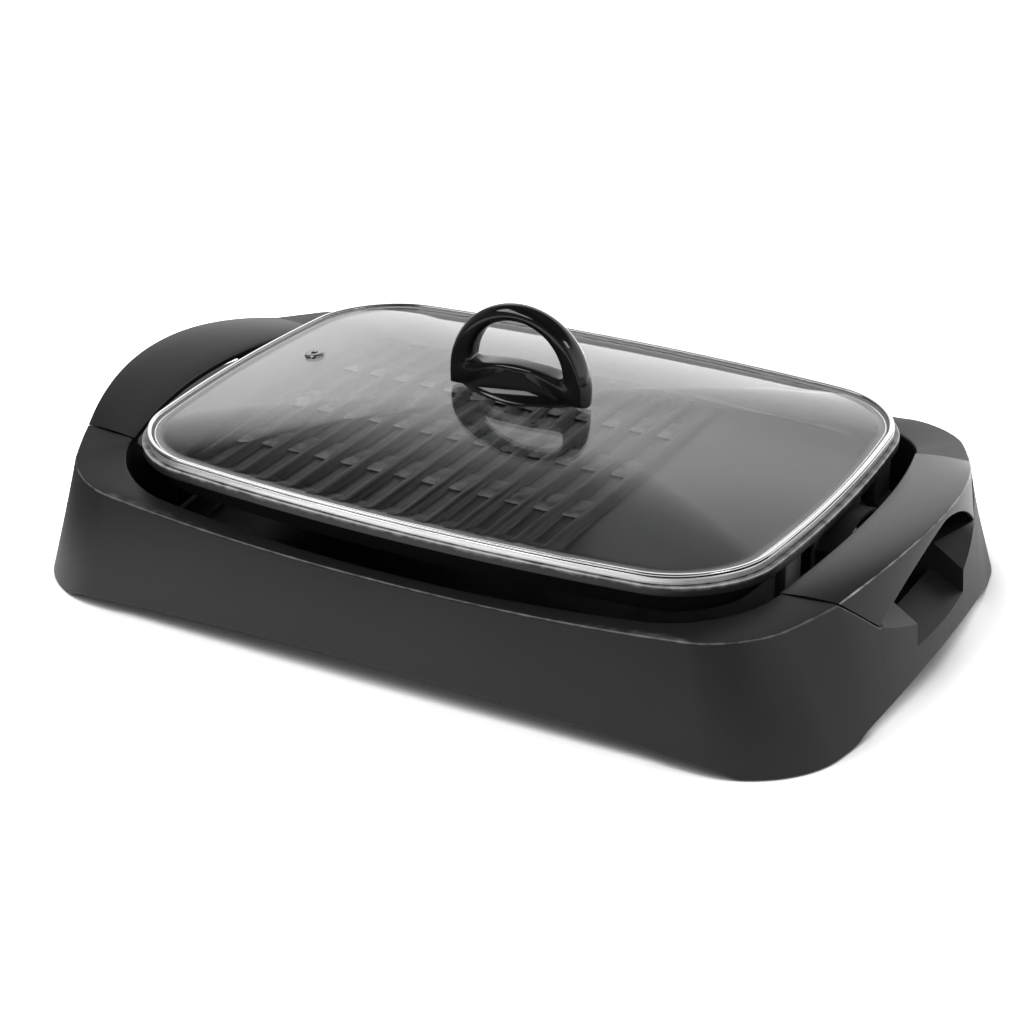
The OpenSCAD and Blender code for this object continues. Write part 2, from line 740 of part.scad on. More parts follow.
// The rows of low pads that cross the channels between the ridges.
module channel_pads() {
    pads_x0 = last_ridge_x - (ridge_count - 1) * ridge_pitch;
    intersection() {
        ring_stack([
            ring_flat_z(inset(floor_ring, pad_edge), plate_floor_z - 1),
            ring_flat_z(inset(floor_ring, pad_edge), plate_floor_z + pad_h)
        ]);
        for (k = [first_pad_row:last_pad_row])
            translate([pads_x0, pad_row_y + k * pad_pitch - pad_l / 2, plate_floor_z - 1])
                cube([last_ridge_x - pads_x0, pad_l, pad_h + 1]);
    }
}

module cooking_plate() {
    color([0.16, 0.16, 0.17]) difference() {
        union() {
            ring_stack([
                ring_flat_z(inset(floor_ring, -plate_wall_t), plate_under_z),
                ring_flat_z(inset(plate_ring, flange_w - plate_wall_t), flange_under_z),
                ring_flat_z(plate_ring, flange_under_z),
                ring_flat_z(plate_ring, plate_top_z - flange_round),
                ring_flat_z(inset(plate_ring, flange_round), plate_top_z),
                ring_flat_z(inset(plate_ring, flange_w), plate_top_z),
                ring_flat_z(floor_ring, plate_floor_z)
            ]);
            for (k = [0:ridge_count - 1]) {
                x = last_ridge_x - k * ridge_pitch;
                translate([x, 0, 0])
                    slab_y(2 * (ring_half_y(floor_ring, x) - ridge_margin)) ridge_profile();
            }
            channel_pads();
        }
        at_clamps() plate_hole();
        at_tab_screws() plate_hole();
    }
}

// ---- heating element ----
leg_y = leg_pitch * 4 / 9;
bend_r = leg_pitch / 2;
mid_leg_y = leg_y + leg_pitch;
outer_leg_y = mid_leg_y + leg_pitch;
bracket_gap = 4;
bracket_x = plate_half_x + bracket_gap;
bracket_front_x = bracket_x + clamp_t;

module sheath_bend(angle) {
    rotate_extrude(angle = angle) translate([bend_r, 0]) circle(d = sheath_d);
}

module heating_element() {
    color([0.3, 0.29, 0.28]) translate([0, 0, element_z]) {
        mirror_y() {
            translate([0, leg_y, 0]) rod_x(sheath_d, -inner_bend_x, bracket_front_x);
            translate([-inner_bend_x, leg_y + bend_r, 0]) rotate([0, 0, 90]) sheath_bend(180);
            translate([0, mid_leg_y, 0]) rod_x(sheath_d, -inner_bend_x, bend_x);
            translate([bend_x, mid_leg_y + bend_r, 0]) rotate([0, 0, -90]) sheath_bend(180);
            translate([0, outer_leg_y, 0]) rod_x(sheath_d, -bend_x, bend_x);
            translate([-bend_x, outer_leg_y - bend_r, 0]) rotate([0, 0, 90]) sheath_bend(90);
        }
        translate([-bend_x - bend_r, 0, 0]) rotate([90, 0, 0])
            cylinder(d = sheath_d, h = 2 * (outer_leg_y - bend_r), center = true);
    }
}

module element_clamps() {
    clamp_l = leg_pitch + 12;
    color([0.7, 0.7, 0.72]) at_clamps() difference() {
        translate([-clamp_w / 2, -clamp_l / 2, clamp_z]) cube([clamp_w, clamp_l, clamp_t]);
        rod_z(screw_d + 2 * screw_gap, clamp_z - 1, clamp_z + clamp_t + 1);
    }
}

module plate_spacer() {
    difference() {
        rod_z(spacer_d, clamp_z + clamp_t, plate_under_z);
        rod_z(screw_d + 2 * screw_gap, clamp_z, plate_under_z + 1);
    }
}

module plate_spacers() {
    color([0.7, 0.7, 0.72]) {
        at_clamps() plate_spacer();
        at_tab_screws() plate_spacer();
    }
}

module clamp_screws() {
    color([0.7, 0.7, 0.72]) at_clamps() translate([0, 0, clamp_z])
        screw_up(screw_d, clamp_screw_l, screw_head_d, screw_head_h);
}

module bracket_screws() {
    color([0.7, 0.7, 0.72]) at_tab_screws() translate([0, 0, clamp_z])
        screw_up(screw_d, clamp_screw_l, screw_head_d, screw_head_h);
}

// ---- terminals ----
insulator_l = 3.5;
pin_stem_d = pin_d - 1;
pin_root_x = bracket_front_x + insulator_l;
pin_tip_x = pin_root_x + pin_free_l;
probe_d = probe_bore_d + 2 * probe_wall;
probe_out = 10.5;
probe_mouth_x = bracket_front_x + probe_out;
bracket_half_y = 32;
bracket_drop = 9.5;
bracket_low_z = clamp_z - bracket_drop;
tab_half_y = 40;
earth_drop = 12;
earth_z = element_z - earth_drop;
earth_w = 6.3;
earth_t = 0.8;
earth_l = 15.5;
hood_mouth_x = bracket_front_x + hood_l;
hood_low_z = bracket_low_z + 2;
hood_top_gap = 0.3;
hood_top_z = flange_under_z - hood_top_gap;

module terminal_bracket() {
    color([0.7, 0.7, 0.72]) difference() {
        union() {
            translate([bracket_x, -bracket_half_y, bracket_low_z])
                cube([clamp_t, 2 * bracket_half_y, hood_top_z - 1 - bracket_low_z]);
            translate([tab_screw_x - 6, -tab_half_y, clamp_z])
                cube([bracket_front_x - tab_screw_x + 6, 2 * tab_half_y, clamp_t]);
        }
        translate([0, 0, element_z]) {
            mirror_y() translate([0, leg_y, 0])
                rod_x(sheath_d + 2 * fit_gap, bracket_x - 1, bracket_front_x + 1);
            rod_x(probe_d + 2 * fit_gap, bracket_x - 1, bracket_front_x + 1);
        }
        at_tab_screws() rod_z(screw_d + 2 * screw_gap, clamp_z - 1, clamp_z + clamp_t + 1);
    }
}

module terminal_pins() {
    color([0.8, 0.8, 0.82]) mirror_y() translate([0, leg_y, element_z]) {
        rod_x(pin_stem_d, bracket_front_x, pin_root_x + 1);
        rod_x(pin_d, pin_root_x, pin_tip_x - pin_d / 2);
        translate([pin_tip_x - pin_d / 2, 0, 0]) sphere(d = pin_d);
    }
}

module pin_insulators() {
    color([0.93, 0.92, 0.88]) mirror_y() translate([0, leg_y, element_z]) difference() {
        rod_x(sheath_d, bracket_front_x, pin_root_x);
        rod_x(pin_stem_d + 2 * fit_gap, bracket_front_x - 1, pin_root_x + 1);
    }
}

module earth_blade() {
    color([0.8, 0.8, 0.82]) translate([bracket_front_x, -earth_w / 2, earth_z - earth_t / 2])
        cube([earth_l, earth_w, earth_t]);
}

module probe_sleeve() {
    color([0.7, 0.7, 0.72]) translate([0, 0, element_z]) difference() {
        rod_x(probe_d, bracket_front_x - probe_l, probe_mouth_x);
        rod_x(probe_bore_d, bracket_front_x - probe_l + probe_wall, probe_mouth_x + 1);
    }
}

module hood_outline(grow) {
    intersection() {
        translate([0, hood_top_z - hood_r]) circle(r = hood_r + grow, $fn = 96);
        translate([-hood_half_y - grow, hood_low_z])
            square([2 * (hood_half_y + grow), hood_top_z - hood_low_z]);
    }
}

module terminal_hood() {
    color([0.2, 0.2, 0.21]) translate([bracket_front_x, 0, 0]) rotate([90, 0, 90])
        linear_extrude(height = hood_mouth_x - bracket_front_x) difference() {
            hood_outline(0);
            translate([0, -0.01]) hood_outline(-hood_t);
        }
}

// ---- lid ----
lid_z = plate_top_z + lid_gap;
glass_low_z = lid_z + rim_t;
glass_top_z = glass_low_z + glass_t;
lip_z = glass_top_z + fit_gap;
bead_top_z = glass_top_z + bead_rise;
glass_edge = 0.6;
glass_seat_w = 4;
bead_out = 0.7;
bead_groove = 0.4;
dome_edge = 6;
dome_ring = inset(lid_ring, dome_edge);
dome_steps = [1, 0.96, 0.91, 0.85, 0.78, 0.7, 0.6, 0.48, 0.34, 0.18, 0.04];
crown_z = glass_top_z + dome_rise;
knob_hole_d = knob_screw_d + 0.6;
vent_hole_d = vent_bore_d + 4;

function dome_z(k) = glass_top_z + dome_rise * (1 - pow(k, dome_power));
function dome_rings(drop) = [
    for (k = dome_steps) [for (i = [0:ring_n - 1])
        [each (k * ring_xy(dome_ring, i)), dome_z(k) - drop]]
];
vent_k = norm([vent_x, vent_y]) / (dome_ring[0] + dome_ring[3]);
vent_tilt = atan(dome_rise * dome_power * pow(vent_k, dome_power - 1)
    / (dome_ring[0] + dome_ring[3]));
vent_z = dome_z(vent_k);

// The rim's section: how far outside the lid's outline, and at what height.
rim_section = [
    [rim_t, lid_z],
    [rim_t, glass_top_z - 1.2],
    [bead_groove, glass_top_z - 0.8],
    [bead_groove, glass_top_z - 0.5],
    [bead_out, glass_top_z - 0.1],
    [bead_out, bead_top_z - 0.4],
    [0.4, bead_top_z - 0.1],
    [-0.3, bead_top_z],
    [-bead_w + 0.6, bead_top_z - 0.1],
    [-bead_w, bead_top_z - 0.5],
    [-bead_w, lip_z],
    [-glass_edge + 0.2, lip_z],
    [-glass_edge + 0.2, glass_low_z],
    [-glass_seat_w, glass_low_z],
    [-glass_seat_w, lid_z]
];

module lid_rim() {
    color([0.8, 0.8, 0.82])
        ring_torus([for (p = rim_section) ring_flat_z(inset(lid_ring, -p[0]), p[1])]);
}

module lid_glass() {
    top = dome_rings(0);
    under = dome_rings(glass_t);
    n = len(dome_steps);
    color([0.8, 0.88, 0.9, 0.35]) difference() {
        ring_stack([
            for (j = [1:n]) under[n - j],
            ring_flat_z(inset(lid_ring, glass_edge), glass_low_z),
            ring_flat_z(inset(lid_ring, glass_edge), glass_top_z),
            each top
        ]);
        rod_z(knob_hole_d, crown_z - glass_t - 1, crown_z + 1);
        translate([vent_x, vent_y, vent_z]) rotate([0, -vent_tilt, 0])
            rod_z(vent_hole_d + 2 * fit_gap, -glass_t - 2, 2);
    }
}

module vent_grommet() {
    flange_t = 1.2;
    groove = 0.12;
    color([0.1, 0.1, 0.1]) translate([vent_x, vent_y, vent_z]) rotate([0, -vent_tilt, 0])
        difference() {
            union() {
                rod_z(vent_d, groove, groove + flange_t);
                rod_z(vent_hole_d, -glass_t - groove - flange_t, groove + flange_t);
                rod_z(vent_d, -glass_t - groove - flange_t, -glass_t - groove);
            }
            rod_z(vent_bore_d, -glass_t - 2 * flange_t, 2 * flange_t);
        }
}

// ---- knob ----
knob_z = crown_z + gasket_t;
knob_floor_z = knob_z + knob_base_h;
knob_centre_z = knob_floor_z - knob_drop;
lens_n = 48;
washer_t = 1.5;
washer_sag = dome_rise * pow(washer_d / 2 / dome_ring[1], dome_power) + fit_gap;
washer_z = crown_z - glass_t - washer_sag - washer_t;
knob_screw_l = 16;

// A pointed oval with its long axis along X.
function lens(hx, hy, z) = [for (i = [0:lens_n - 1])
    let (s = sin(360 * i / lens_n), c = cos(360 * i / lens_n)) [hx * s, -hy * c * abs(c), z]];

module knob_gasket() {
    color([0.1, 0.1, 0.1]) difference() {
        rod_z(washer_d, crown_z, knob_z);
        rod_z(knob_hole_d, crown_z - 1, knob_z + 1);
    }
}

module knob_loop() {
    slab_y(knob_deep) difference() {
        intersection() {
            translate([0, knob_centre_z]) circle(r = knob_r, $fn = 120);
            translate([-knob_r, knob_z]) square([2 * knob_r, 2 * knob_r + knob_base_h]);
        }
        intersection() {
            translate([0, knob_floor_z]) circle(r = knob_hole_r, $fn = 96);
            translate([-knob_hole_r, knob_floor_z]) square([2 * knob_hole_r, knob_hole_r]);
        }
    }
}

module lid_knob() {
    half = knob_base_deep / 2;
    inner = knob_deep / 2;
    color([0.07, 0.07, 0.07]) difference() {
        union() {
            knob_loop();
            ring_stack([
                lens(knob_base_half_x, half, knob_z),
                lens(knob_base_half_x, half, knob_z + knob_base_h * 0.1),
                lens(knob_base_half_x - 0.4, lerp(inner, half, 0.7), knob_z + knob_base_h * 0.2),
                lens(knob_base_half_x - 0.8, lerp(inner, half, 0.42), knob_z + knob_base_h * 0.36),
                lens(knob_base_half_x - 1.1, lerp(inner, half, 0.2), knob_z + knob_base_h * 0.6),
                lens(knob_base_half_x - 1.4, inner + 0.4, knob_z + knob_base_h * 0.9)
            ]);
        }
        rod_z(knob_screw_d + 2 * fit_gap, knob_z - 1, washer_z + knob_screw_l + 0.5);
    }
}

module knob_washer() {
    color([0.7, 0.7, 0.72]) difference() {
        rod_z(washer_d, washer_z, washer_z + washer_t);
        rod_z(knob_hole_d, washer_z - 1, washer_z + washer_t + 1);
    }
}

module knob_screw() {
    color([0.7, 0.7, 0.72]) translate([0, 0, washer_z])
        screw_up(knob_screw_d, knob_screw_l, 2 * knob_screw_d, screw_head_h);
}

base_housing();
left_handle();
right_handle();
handle_screws();
rubber_feet();
reflector_pan();
pan_screws();
cooking_plate();
heating_element();
element_clamps();
plate_spacers();
clamp_screws();
terminal_pins();
pin_insulators();
earth_blade();
probe_sleeve();
terminal_bracket();
bracket_screws();
terminal_hood();
lid_rim();
lid_glass();
vent_grommet();
knob_gasket();
lid_knob();
knob_washer();
knob_screw();
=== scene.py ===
"""Tabletop electric grill with a lift-out cooking plate and a lift-off glass lid.

Lengths in the shape code are millimetres, in the same frame as the solids: X along
the long side, Y to the back, Z up from the table. Every mesh is made in metres.
"""
import math

import bmesh
import bpy
import numpy as np
from mathutils import Matrix, Vector, kdtree


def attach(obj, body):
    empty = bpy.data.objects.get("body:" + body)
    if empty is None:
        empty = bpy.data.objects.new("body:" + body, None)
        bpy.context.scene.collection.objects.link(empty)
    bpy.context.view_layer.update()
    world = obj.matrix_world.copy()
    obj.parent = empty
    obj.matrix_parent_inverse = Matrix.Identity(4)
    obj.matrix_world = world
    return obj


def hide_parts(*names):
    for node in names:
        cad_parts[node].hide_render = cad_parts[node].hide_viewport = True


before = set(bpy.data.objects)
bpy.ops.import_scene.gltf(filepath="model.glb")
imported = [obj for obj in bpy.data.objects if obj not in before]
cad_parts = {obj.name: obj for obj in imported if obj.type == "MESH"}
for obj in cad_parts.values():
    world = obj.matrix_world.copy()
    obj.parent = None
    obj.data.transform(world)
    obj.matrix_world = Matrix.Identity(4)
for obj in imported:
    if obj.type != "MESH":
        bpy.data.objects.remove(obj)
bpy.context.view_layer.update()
MM = 0.001
scene = bpy.context.scene

# ---------------------------------------------------------------- outlines
# A ring is a bowed, rounded rectangle: half x, half y, corner radius, bow x, bow y.
BASE = (229.5, 156.0, 44.0, 22.0, 4.0)
CREASE = (198.5, 149.5, 26.0, 49.5, 6.0)
WELL = (183.0, 136.0, 40.0, 27.0, 4.5)
PLATE = (184.0, 127.5, 45.0, 10.0, 13.5)
LID = (180.3, 125.1, 43.0, 9.7, 13.4)

JOINT_Y, JOINT_Z = 94.6, 75.6   # where the crease runs into the end of a handle
LOW_Z, CLIMB = 61.0, 2.3        # the crease is lowest in the middle of the long sides
HANDLE_RISE = 14.0              # how far the handles arch above their ends
DECK_FALL = 1.8                 # from the crease down to the well
LEDGE_Z, SCOOP_Y = 54.0, 69.0   # the level ledge under a handle
STEP_SLOPE = (JOINT_Z - LEDGE_Z) / (JOINT_Y - SCOOP_Y)
WALL = 2.6
WELL_LEAN = 2.5                 # the well is narrower at its floor
FLOOR_Z = 12.0
FOOT_Z = 0.6
FOOT_TIP_X, FOOT_TIP_Y = 203.6, 96.6    # where the corner feet end, along front and sides
FOOT_RAMP, ARCH_LOW, ARCH_HIGH = 10.0, 4.6, 12.5

# Stations round a quarter, shared by every ring, so rings join without twist.
FRONT = np.linspace(0, 1, 22)[:-1]
CORNER = np.linspace(0, 1, 27)
GAP = (0.3, 0.65)
RAMP_Y = JOINT_Y - SCOOP_Y
SIDE = np.concatenate([np.linspace(0, RAMP_Y, 8)[:-1], np.linspace(RAMP_Y, JOINT_Y, 19)]) / JOINT_Y
QUARTER = [("front", t) for t in FRONT] + [("corner", t) for t in CORNER]
QUARTER += [("gap", t) for t in GAP] + [("side", t) for t in SIDE]
JOINT = len(FRONT) + len(CORNER) + len(GAP)


def inset(ring, d):
    return (ring[0] - d, ring[1] - d, max(ring[2] - d, 1.0), ring[3], ring[4])


def quarter(ring):
    """x, y and run along the outline for the stations of the front right quarter."""
    hx, hy, r = ring[:3]
    joint = min(JOINT_Y, hy - r - 1)
    rows = []
    for part, t in QUARTER:
        if part == "front":
            rows.append(((hx - r) * t, hy, (hx - r) * t))
        elif part == "corner":
            a = math.pi / 2 * t
            rows.append((hx - r + r * math.sin(a), hy - r + r * math.cos(a), hx - r + r * a))
        else:
            y = joint * (1 - t) if part == "side" else (hy - r) * (1 - t) + joint * t
            rows.append((hx, y, hx - r + r * math.pi / 2 + hy - r - y))
    return np.array(rows)


def full(q):
    """Four mirrored quarters, counter-clockwise from the middle of the front."""
    a, b = q[:-1, :2], q[1:, :2][::-1]
    return np.concatenate([a * (1, -1), b, a * (-1, 1), b * (-1, -1)])


def spread(v):
    """A value per station of a quarter, spread round the whole ring."""
    a, b = v[:-1], v[1:][::-1]
    return np.concatenate([a, b, a, b])


def bow(ring, xy):
    """Points of a straight-sided outline, pushed out to the ring's bowed sides."""
    x, y = xy[:, 0], xy[:, 1]
    return np.column_stack([
        x + np.sign(x) * ring[3] * (1 - (y / ring[1]) ** 2),
        y + np.sign(y) * ring[4] * (1 - (x / ring[0]) ** 2)])


def outline(ring):
    return bow(ring, full(quarter(ring)))


def flat(ring, z):
    """The ring as points, all at one height or each at its own."""
    xy = outline(ring)
    return np.column_stack([xy, np.broadcast_to(z, len(xy))])


def end_x(ring, y):
    """How far out the ring's bowed end is at a depth."""
    return ring[0] + ring[3] * (1 - (y / ring[1]) ** 2)


def end_crease_z(y):
    """Height of the handle's outer edge, which carries the crease on over an end."""
    return JOINT_Z + HANDLE_RISE * (1 - (y / JOINT_Y) ** 2)


def rim_z(ring):
    """Height of the crease at each station of a quarter."""
    q = quarter(ring)
    climb = (q[:, 2] / q[JOINT, 2]).clip(0, 1) ** CLIMB
    z = LOW_Z + (JOINT_Z - LOW_Z) * climb
    return np.where(np.arange(len(q)) <= JOINT, z, end_crease_z(q[:, 1]))


def top_z(ring):
    """Top of the base at each station: the crease, with a ledge under the handles."""
    q = quarter(ring)
    step = np.maximum(LEDGE_Z, JOINT_Z - (JOINT_Y - q[:, 1]) * STEP_SLOPE)
    return np.where(np.arange(len(q)) <= JOINT, rim_z(ring), step)


def arch(run, tip):
    """Foot line: a foot from tip on, a short ramp, then an arch to the middle."""
    t = np.clip((run - tip + FOOT_RAMP) / FOOT_RAMP, 0, 1)
    z = ARCH_LOW + (ARCH_HIGH - ARCH_LOW) * (1 - (run / (tip - FOOT_RAMP)) ** 2)
    return np.where(run >= tip - FOOT_RAMP, ARCH_LOW + (FOOT_Z - ARCH_LOW) * t, z)


def foot_z():
    q = quarter(BASE)
    b = np.abs(bow(BASE, q[:, :2]))
    front = np.arange(len(q)) <= len(FRONT) + len(CORNER) / 2
    return np.where(front, arch(b[:, 0], FOOT_TIP_X), arch(b[:, 1], FOOT_TIP_Y))


def foot_ring(d):
    return flat(inset(BASE, d), spread(foot_z()))


def wall_ring(d):
    """Top of the outer wall, on the straight line from the foot line to the crease."""
    low = foot_ring(d)
    high = flat(inset(CREASE, d), spread(rim_z(CREASE)))
    t = (spread(top_z(CREASE)) - d - low[:, 2]) / (high[:, 2] - low[:, 2])
    return low + (high - low) * t[:, None]


def deck_ring(ring, rise):
    return flat(ring, spread(top_z(ring)) + rise)


def end_wall_x(y, z):
    """How far out the outer wall of an end is at a depth and a height."""
    low = float(arch(abs(y), FOOT_TIP_Y))
    t = (z - low) / (end_crease_z(y) - low)
    return end_x(BASE, y) + (end_x(CREASE, y) - end_x(BASE, y)) * t


# ---------------------------------------------------------------- meshes
AXIS = 0.02     # radius at which a turned solid is closed


def linked(name, data):
    """A new object in the scene."""
    obj = bpy.data.objects.new(name, data)
    scene.collection.objects.link(obj)
    return obj


def new_object(name, verts, faces):
    mesh = bpy.data.meshes.new(name)
    verts = np.asarray(verts, float) * MM
    mesh.from_pydata(verts.tolist(), [], [list(map(int, f)) for f in faces])
    mesh.update()
    return linked(name, mesh)


def fillet(path, k, size, steps=4):
    """Rounds corner k of a list of point rows: size mm each way, as a quadratic curve."""
    a, b, c = path[k - 1], path[k], path[(k + 1) % len(path)]
    size = np.broadcast_to(np.asarray(size, float), (len(b),))[:, None]
    da, dc = a - b, c - b
    la = np.linalg.norm(da, axis=1, keepdims=True)
    lc = np.linalg.norm(dc, axis=1, keepdims=True)
    p = b + da / la * np.minimum(size, la * 0.49)
    q = b + dc / lc * np.minimum(size, lc * 0.49)
    ts = np.linspace(0, 1, steps + 1)
    return [p * (1 - t) ** 2 + 2 * b * t * (1 - t) + q * t * t for t in ts]


def rounded(path, sizes):
    """A list of point rows with the corners in sizes {index: mm} rounded."""
    out = []
    for k, row in enumerate(path):
        out += fillet(path, k, sizes[k]) if k in sizes else [row]
    return out


def loft(name, rings, closed=False):
    """A mesh through rings of equal length. Closed joins the last ring to the first, and
    otherwise the two end rings are capped."""
    n, m = len(rings[0]), len(rings)
    idx = np.arange(n)
    nxt = (idx + 1) % n
    faces = []
    for j in range(m if closed else m - 1):
        a, b = j * n, ((j + 1) % m) * n
        faces += np.column_stack([a + idx, a + nxt, b + nxt, b + idx]).tolist()
    if not closed:
        faces += [idx[::-1].tolist(), (idx + (m - 1) * n).tolist()]
    return new_object(name, np.concatenate(rings), faces)


def tidy_normals(obj, reach=1e-6, slivers=False):
    """Merges points within reach metres, melts slivers if told to, and turns faces outwards."""
    bm = bmesh.new()
    bm.from_mesh(obj.data)
    bmesh.ops.remove_doubles(bm, verts=bm.verts, dist=reach)
    if slivers:
        bmesh.ops.dissolve_degenerate(bm, edges=bm.edges, dist=reach)
    bmesh.ops.recalc_face_normals(bm, faces=bm.faces)
    bm.to_mesh(obj.data)
    bm.free()
    return obj


def applied(obj):
    """Puts the result of the object's modifiers into its mesh."""
    deps = bpy.context.evaluated_depsgraph_get()
    mesh = bpy.data.meshes.new_from_object(obj.evaluated_get(deps))
    obj.modifiers.clear()
    old = obj.data
    obj.data = mesh
    bpy.data.meshes.remove(old)
    return obj


def cut(obj, cutter, how="DIFFERENCE"):
    """Cuts, joins or crosses a solid with a second one, which is used up."""
    mod = obj.modifiers.new("cut", "BOOLEAN")
    mod.operation, mod.object, mod.solver = how, cutter, "EXACT"
    applied(obj)
    bpy.data.objects.remove(cutter)
    return obj


def bevelled(obj, width, segments=2, degrees=30):
    mod = obj.modifiers.new("edges", "BEVEL")
    mod.width, mod.segments, mod.limit_method = width * MM, segments, "ANGLE"
    mod.angle_limit = math.radians(degrees)
    return applied(obj)


def joined(name, parts):
    """One object made of several, which are used up."""
    bm = bmesh.new()
    for part in parts:
        bm.from_mesh(part.data)
    mesh = bpy.data.meshes.new(name)
    bm.to_mesh(mesh)
    bm.free()
    for part in parts:
        bpy.data.objects.remove(part)
    return linked(name, mesh)


def prism(name, outline_xz, y0, y1):
    """A slab drawn in X and Z between two depths."""
    n = len(outline_xz)
    verts = [(x, y, z) for y in (y0, y1) for x, z in outline_xz]
    faces = [list(range(n)), [n + k for k in range(n)][::-1]]
    faces += [[k, n + k, n + (k + 1) % n, (k + 1) % n] for k in range(n)]
    return tidy_normals(new_object(name, verts, faces))


def block(name, low, high):
    (x0, y0, z0), (x1, y1, z1) = low, high
    return prism(name, [(x0, z0), (x1, z0), (x1, z1), (x0, z1)], y0, y1)


def turned(name, profile, n=48, closed=True):
    """A solid turned about Z from (radius, height) points: a ring whose profile closes on
    itself, or a solid capped at the axis."""
    ring = [(math.cos(2 * math.pi * k / n), math.sin(2 * math.pi * k / n)) for k in range(n)]
    rows = [np.array([(r * c, r * s, z) for c, s in ring]) for r, z in profile]
    return tidy_normals(loft(name, rows, closed))


def shift(x, y, z=0.0):
    return Matrix.Translation((x * MM, y * MM, z * MM))


def copied(obj, name, matrix):
    twin = linked(name, obj.data.copy())
    twin.data.transform(matrix)
    return twin


def mirrored(obj, name, sides=(-1, 1)):
    """A copy mirrored in X or in Y."""
    twin = copied(obj, name, Matrix.Diagonal((*sides, 1, 1)))
    twin.data.flip_normals()
    return twin


def store(obj, name, values):
    """Writes a number per vertex as a named attribute, which the materials read."""
    layer = obj.data.attributes.new(name, "FLOAT", "POINT")
    layer.data.foreach_set("value", np.asarray(values, np.float32))


def wear_and_highlight_from(obj, points, reach, closed=True):
    """Stores how close each vertex is to an edge line that is lightened, partly as wear and partly
    as painted highlight, from 0 to 1, as the attribute for edge wear and painted highlight.
    """
    ends = np.roll(points, -1, axis=0) if closed else points[1:]
    starts = points if closed else points[:-1]
    line = [a + (b - a) * t for a, b in zip(starts, ends)
            for t in np.arange(0, 1, 0.5 / max(np.linalg.norm(b - a), 0.5))]
    tree = kdtree.KDTree(len(line))
    for k, p in enumerate(line):
        tree.insert(p, k)
    tree.balance()
    near = np.array([tree.find(v.co / MM)[2] for v in obj.data.vertices])
    store(obj, "edge_wear_and_highlight", np.clip(1 - near / reach, 0, 1))


# ---------------------------------------------------------------- node trees
def wire(target, inputs):
    """Links each input of a node that is given a socket, and sets each that is given a value."""
    for key, value in inputs.items():
        if isinstance(value, bpy.types.NodeSocket):
            target.id_data.links.new(value, target.inputs[key])
        else:
            target.inputs[key].default_value = value


def node(tree, kind, inputs=None, **settings):
    """Adds a node, with its settings made before its inputs are wired."""
    made = tree.nodes.new(kind)
    for key, value in settings.items():
        setattr(made, key, value)
    wire(made, inputs or {})
    return made


def group(name, kind, inputs, outputs):
    """An empty node group with named sockets, and the sockets that bring its inputs in."""
    tree = bpy.data.node_groups.new(name, kind + "NodeTree")
    for in_out, sockets in (("INPUT", inputs), ("OUTPUT", outputs)):
        for label, holds in sockets.items():
            tree.interface.new_socket(label, in_out=in_out, socket_type="NodeSocket" + holds)
    return tree, node(tree, "NodeGroupInput").outputs


def calc(tree, how, first, second):
    """The result of a Math node."""
    return node(tree, "ShaderNodeMath", {0: first, 1: second}, operation=how).outputs[0]


def remap(tree, value, low, high, to_low=0.0, to_high=1.0, how="LINEAR"):
    """The value's range from low to high, mapped to to_low to to_high and held there."""
    ranges = {"From Min": low, "From Max": high, "To Min": to_low, "To Max": to_high}
    made = node(tree, "ShaderNodeMapRange", {"Value": value, **ranges}, interpolation_type=how)
    return made.outputs["Result"]


def mix(tree, factor, a, b, kind="RGBA"):
    """Runs from a to b as the factor goes from 0 to 1."""
    made = node(tree, "ShaderNodeMix", {"Factor": factor, "A": a, "B": b}, data_type=kind)
    return made.outputs["Result"]


def noise(tree, vector, scale, detail, roughness=0.5):
    sizes = {"Scale": scale, "Detail": detail, "Roughness": roughness}
    return node(tree, "ShaderNodeTexNoise", {"Vector": vector, **sizes}).outputs["Fac"]


def relief(tree, height, strength, distance):
    inputs = {"Height": height, "Strength": strength, "Distance": distance}
    return node(tree, "ShaderNodeBump", inputs).outputs["Normal"]


def attribute(tree, name):
    return node(tree, "ShaderNodeAttribute", attribute_name=name).outputs["Fac"]


# ---------------------------------------------------------------- repeated shapes
def place_tree():
    """Places one shape on every point, by the points' own turn and stretch."""
    tree, given = group("place_on_points", "Geometry",
                        {"Points": "Geometry", "Shape": "Object", "Size": "Float",
                         "Finish": "Material"}, {"Geometry": "Geometry"})
    points = node(tree, "GeometryNodeMeshToPoints", {"Mesh": given["Points"]})
    shape = node(tree, "GeometryNodeObjectInfo", {"Object": given["Shape"]})
    turn, stretch = (node(tree, "GeometryNodeInputNamedAttribute", {"Name": name},
                          data_type="FLOAT_VECTOR").outputs["Attribute"]
                     for name in ("turn", "stretch"))
    sized = node(tree, "ShaderNodeVectorMath", {0: stretch, "Scale": given["Size"]},
                 operation="SCALE")
    place = node(tree, "GeometryNodeInstanceOnPoints",
                 {"Points": points.outputs["Points"], "Instance": shape.outputs["Geometry"],
                  "Rotation": turn, "Scale": sized.outputs["Vector"]})
    real = node(tree, "GeometryNodeRealizeInstances", {"Geometry": place.outputs["Instances"]})
    faced = node(tree, "GeometryNodeSetMaterial",
                 {"Geometry": real.outputs["Geometry"], "Material": given["Finish"]})
    node(tree, "NodeGroupOutput", {"Geometry": faced.outputs["Geometry"]})
    return tree


PLACE = place_tree()


